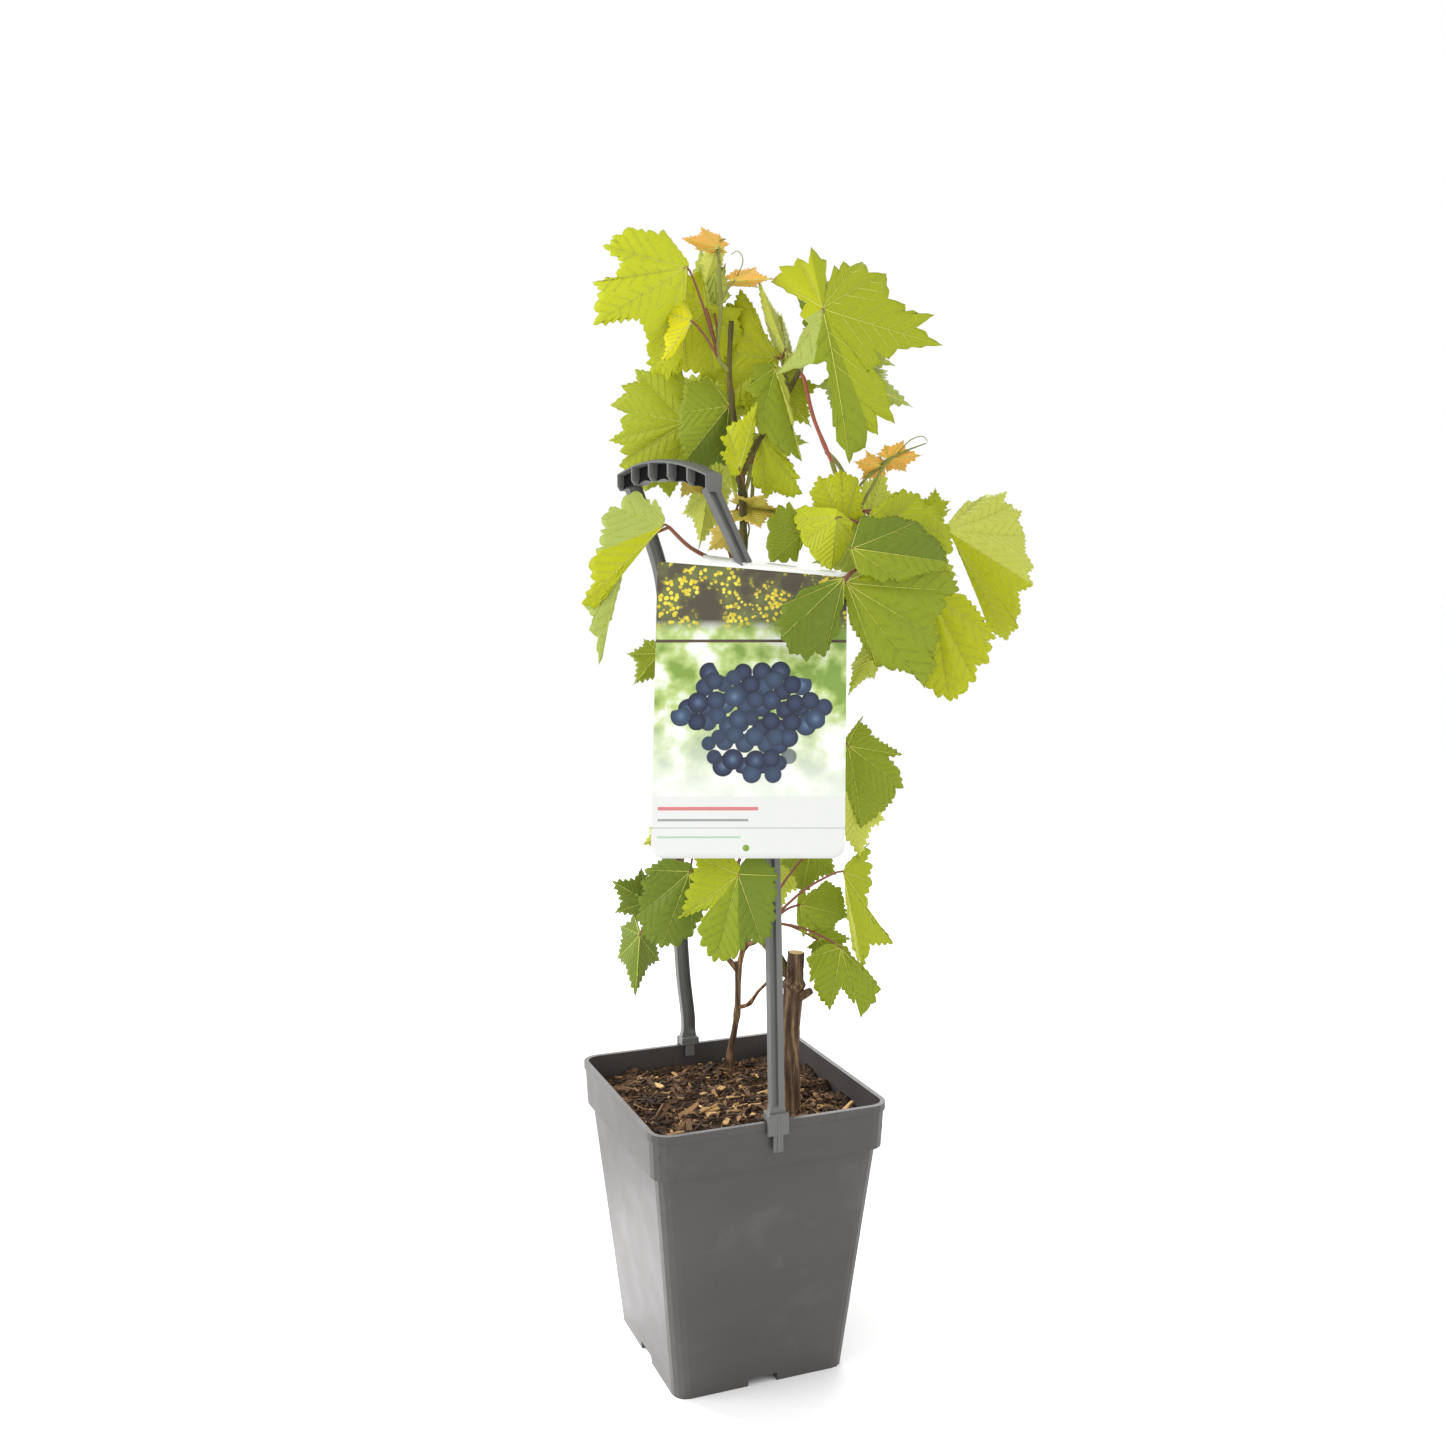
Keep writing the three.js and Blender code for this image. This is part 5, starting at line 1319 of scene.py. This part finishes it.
def add_chip(build, rng, size, finish):
    """A broken sliver of bark: a bent, uneven bar lying on the soil."""
    length, width, height = size
    limit = SOIL_HALF - 3 - length / 2
    x, y = rng.uniform(-limit, limit), rng.uniform(-limit, limit)
    heading, tilt = rng.uniform(0, math.tau), rng.gauss(0, 0.22)
    level = math.cos(tilt)
    ahead = np.array([math.cos(heading) * level, math.sin(heading) * level, math.sin(tilt)])
    across = unit(np.cross([0, 0, 1], ahead) + np.array([0, 0, rng.gauss(0, 0.3)]))
    up = np.cross(ahead, across)
    centre = np.array([x, y, soil_height(x, y) + height * 0.3 + abs(math.sin(tilt)) * length * 0.35])
    rings = []
    sag = rng.uniform(-0.12, 0.12) * length
    for share in (-0.5, -0.15, 0.2, 0.5):
        w, h = width / 2 * rng.uniform(0.5, 1.1), height / 2 * rng.uniform(0.6, 1.1)
        lift = up * sag * (0.25 - share * share)
        middle = centre + ahead * share * length + lift + across * rng.gauss(0, 0.06) * width
        rings.append(np.array([middle - across * w - up * h, middle + across * w - up * h * 0.8,
                               middle + across * w * 0.9 + up * h, middle - across * w + up * h * 0.9]))
    loft(build, rings, finish)


def make_chips():
    rng = random.Random(5)
    build = Build()
    for count, spans, shares in CHIPS:
        for _ in range(count):
            size = [rng.uniform(*span) for span in spans]
            add_chip(build, rng, size, rng.choices(range(len(shares)), shares)[0])
    materials = [mottled(f"chip_{i}", srgb(*c), 0.9, grain=1400, spread=0.2, bump=0.5, specular=0.2)
                 for i, c in enumerate(CHIP_COLOURS)]
    build.piece("bark_chips", materials, in_view=False, smooth=False)


POT_EDGE = 0.0007
POT_EDGE_ANGLE = math.radians(35)


def dress_pot():
    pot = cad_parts["pot"]
    plastic = plastic_material("pot_plastic", srgb(67, 64, 63), srgb(140, 134, 128), 0.36)
    pot.data.materials.clear()
    pot.data.materials.append(plastic)
    pot.data.polygons.foreach_set("use_smooth", [True] * len(pot.data.polygons))
    bevel = pot.modifiers.new("edges", "BEVEL")
    bevel.width, bevel.segments = POT_EDGE, 3
    bevel.limit_method, bevel.angle_limit = "ANGLE", POT_EDGE_ANGLE
    bevel.harden_normals = True


# The studio: lights by place, aim, size, power and spread, in metres as the viewer sees them

FLOOR_HALF = 12
AIM = [0, 0, 0.35]
LIGHTS = {
    "key": ([-1.6, -0.5, 1.1], AIM, 1.2, 18, 180),
    "fill": ([1.5, -0.9, 1.0], AIM, 1.4, 6, 180),
    "back": ([0.2, 1.5, 1.3], AIM, 1.4, 14, 180),
    "pot_side": ([-0.3, 0.14, 0.28], [-0.1, 0.03, 0.07], 0.16, 0.5, 80),
}


def add_area(name, spot, aim, size, power, spread):
    spot, aim = Vector(from_view(spot)), Vector(from_view(aim))
    data = bpy.data.lights.new(name, "AREA")
    data.shape, data.size, data.energy = "DISK", size, power
    data.spread = math.radians(spread)
    light = bpy.data.objects.new(name, data)
    light.location = spot
    light.rotation_euler = (aim - spot).to_track_quat("-Z", "Y").to_euler()
    light.visible_camera = False
    bpy.context.scene.collection.objects.link(light)


def make_world():
    world = bpy.data.worlds.new("studio")
    world.use_nodes = True
    background = world.node_tree.nodes["Background"]
    background.inputs["Color"].default_value = (1, 1, 1, 1)
    background.inputs["Strength"].default_value = 1.0
    bpy.context.scene.world = world


def make_floor():
    mesh = bpy.data.meshes.new("floor")
    corners = [(x * FLOOR_HALF, y * FLOOR_HALF, 0) for x, y in ((-1, -1), (1, -1), (1, 1), (-1, 1))]
    mesh.from_pydata(corners, [], [(0, 1, 2, 3)])
    nodes = Nodes("floor", 0.9, 0.1)
    nodes.shader.inputs["Base Color"].default_value = (1, 1, 1, 1)
    mesh.materials.append(nodes.material)
    floor = bpy.data.objects.new("floor", mesh)
    bpy.context.scene.collection.objects.link(floor)


def make_camera():
    camera = bpy.data.cameras.new("camera")
    camera.lens = LENS
    obj = bpy.data.objects.new("camera", camera)
    obj.location = Vector(from_view(VIEWPOINT) / 1000)
    ahead = from_view([0, math.cos(VIEW_PITCH), -math.sin(VIEW_PITCH)])
    obj.rotation_euler = Vector(ahead).to_track_quat("-Z", "Y").to_euler()
    bpy.context.scene.collection.objects.link(obj)
    bpy.context.scene.camera = obj


def make_studio():
    bpy.context.scene.view_settings.view_transform = "Standard"
    make_world()
    make_floor()
    make_camera()
    for name, settings in LIGHTS.items():
        add_area(name, *settings)


white_card = mottled("label_white", srgb(238, 240, 238), 0.4, grain=2000, spread=0.02, bump=0.05)
make_foliage(leaf_materials())
make_limbs()
# The near-black second plastic is painted shade in the grip's pockets
make_handle([plastic_material("handle_plastic", srgb(98, 99, 97), srgb(150, 150, 146), 0.5),
             mottled("pocket_painted_shade", srgb(16, 16, 17), 0.8, specular=0.1)])
make_card(white_card)
make_soil()
make_chips()
dress_pot()
make_studio()
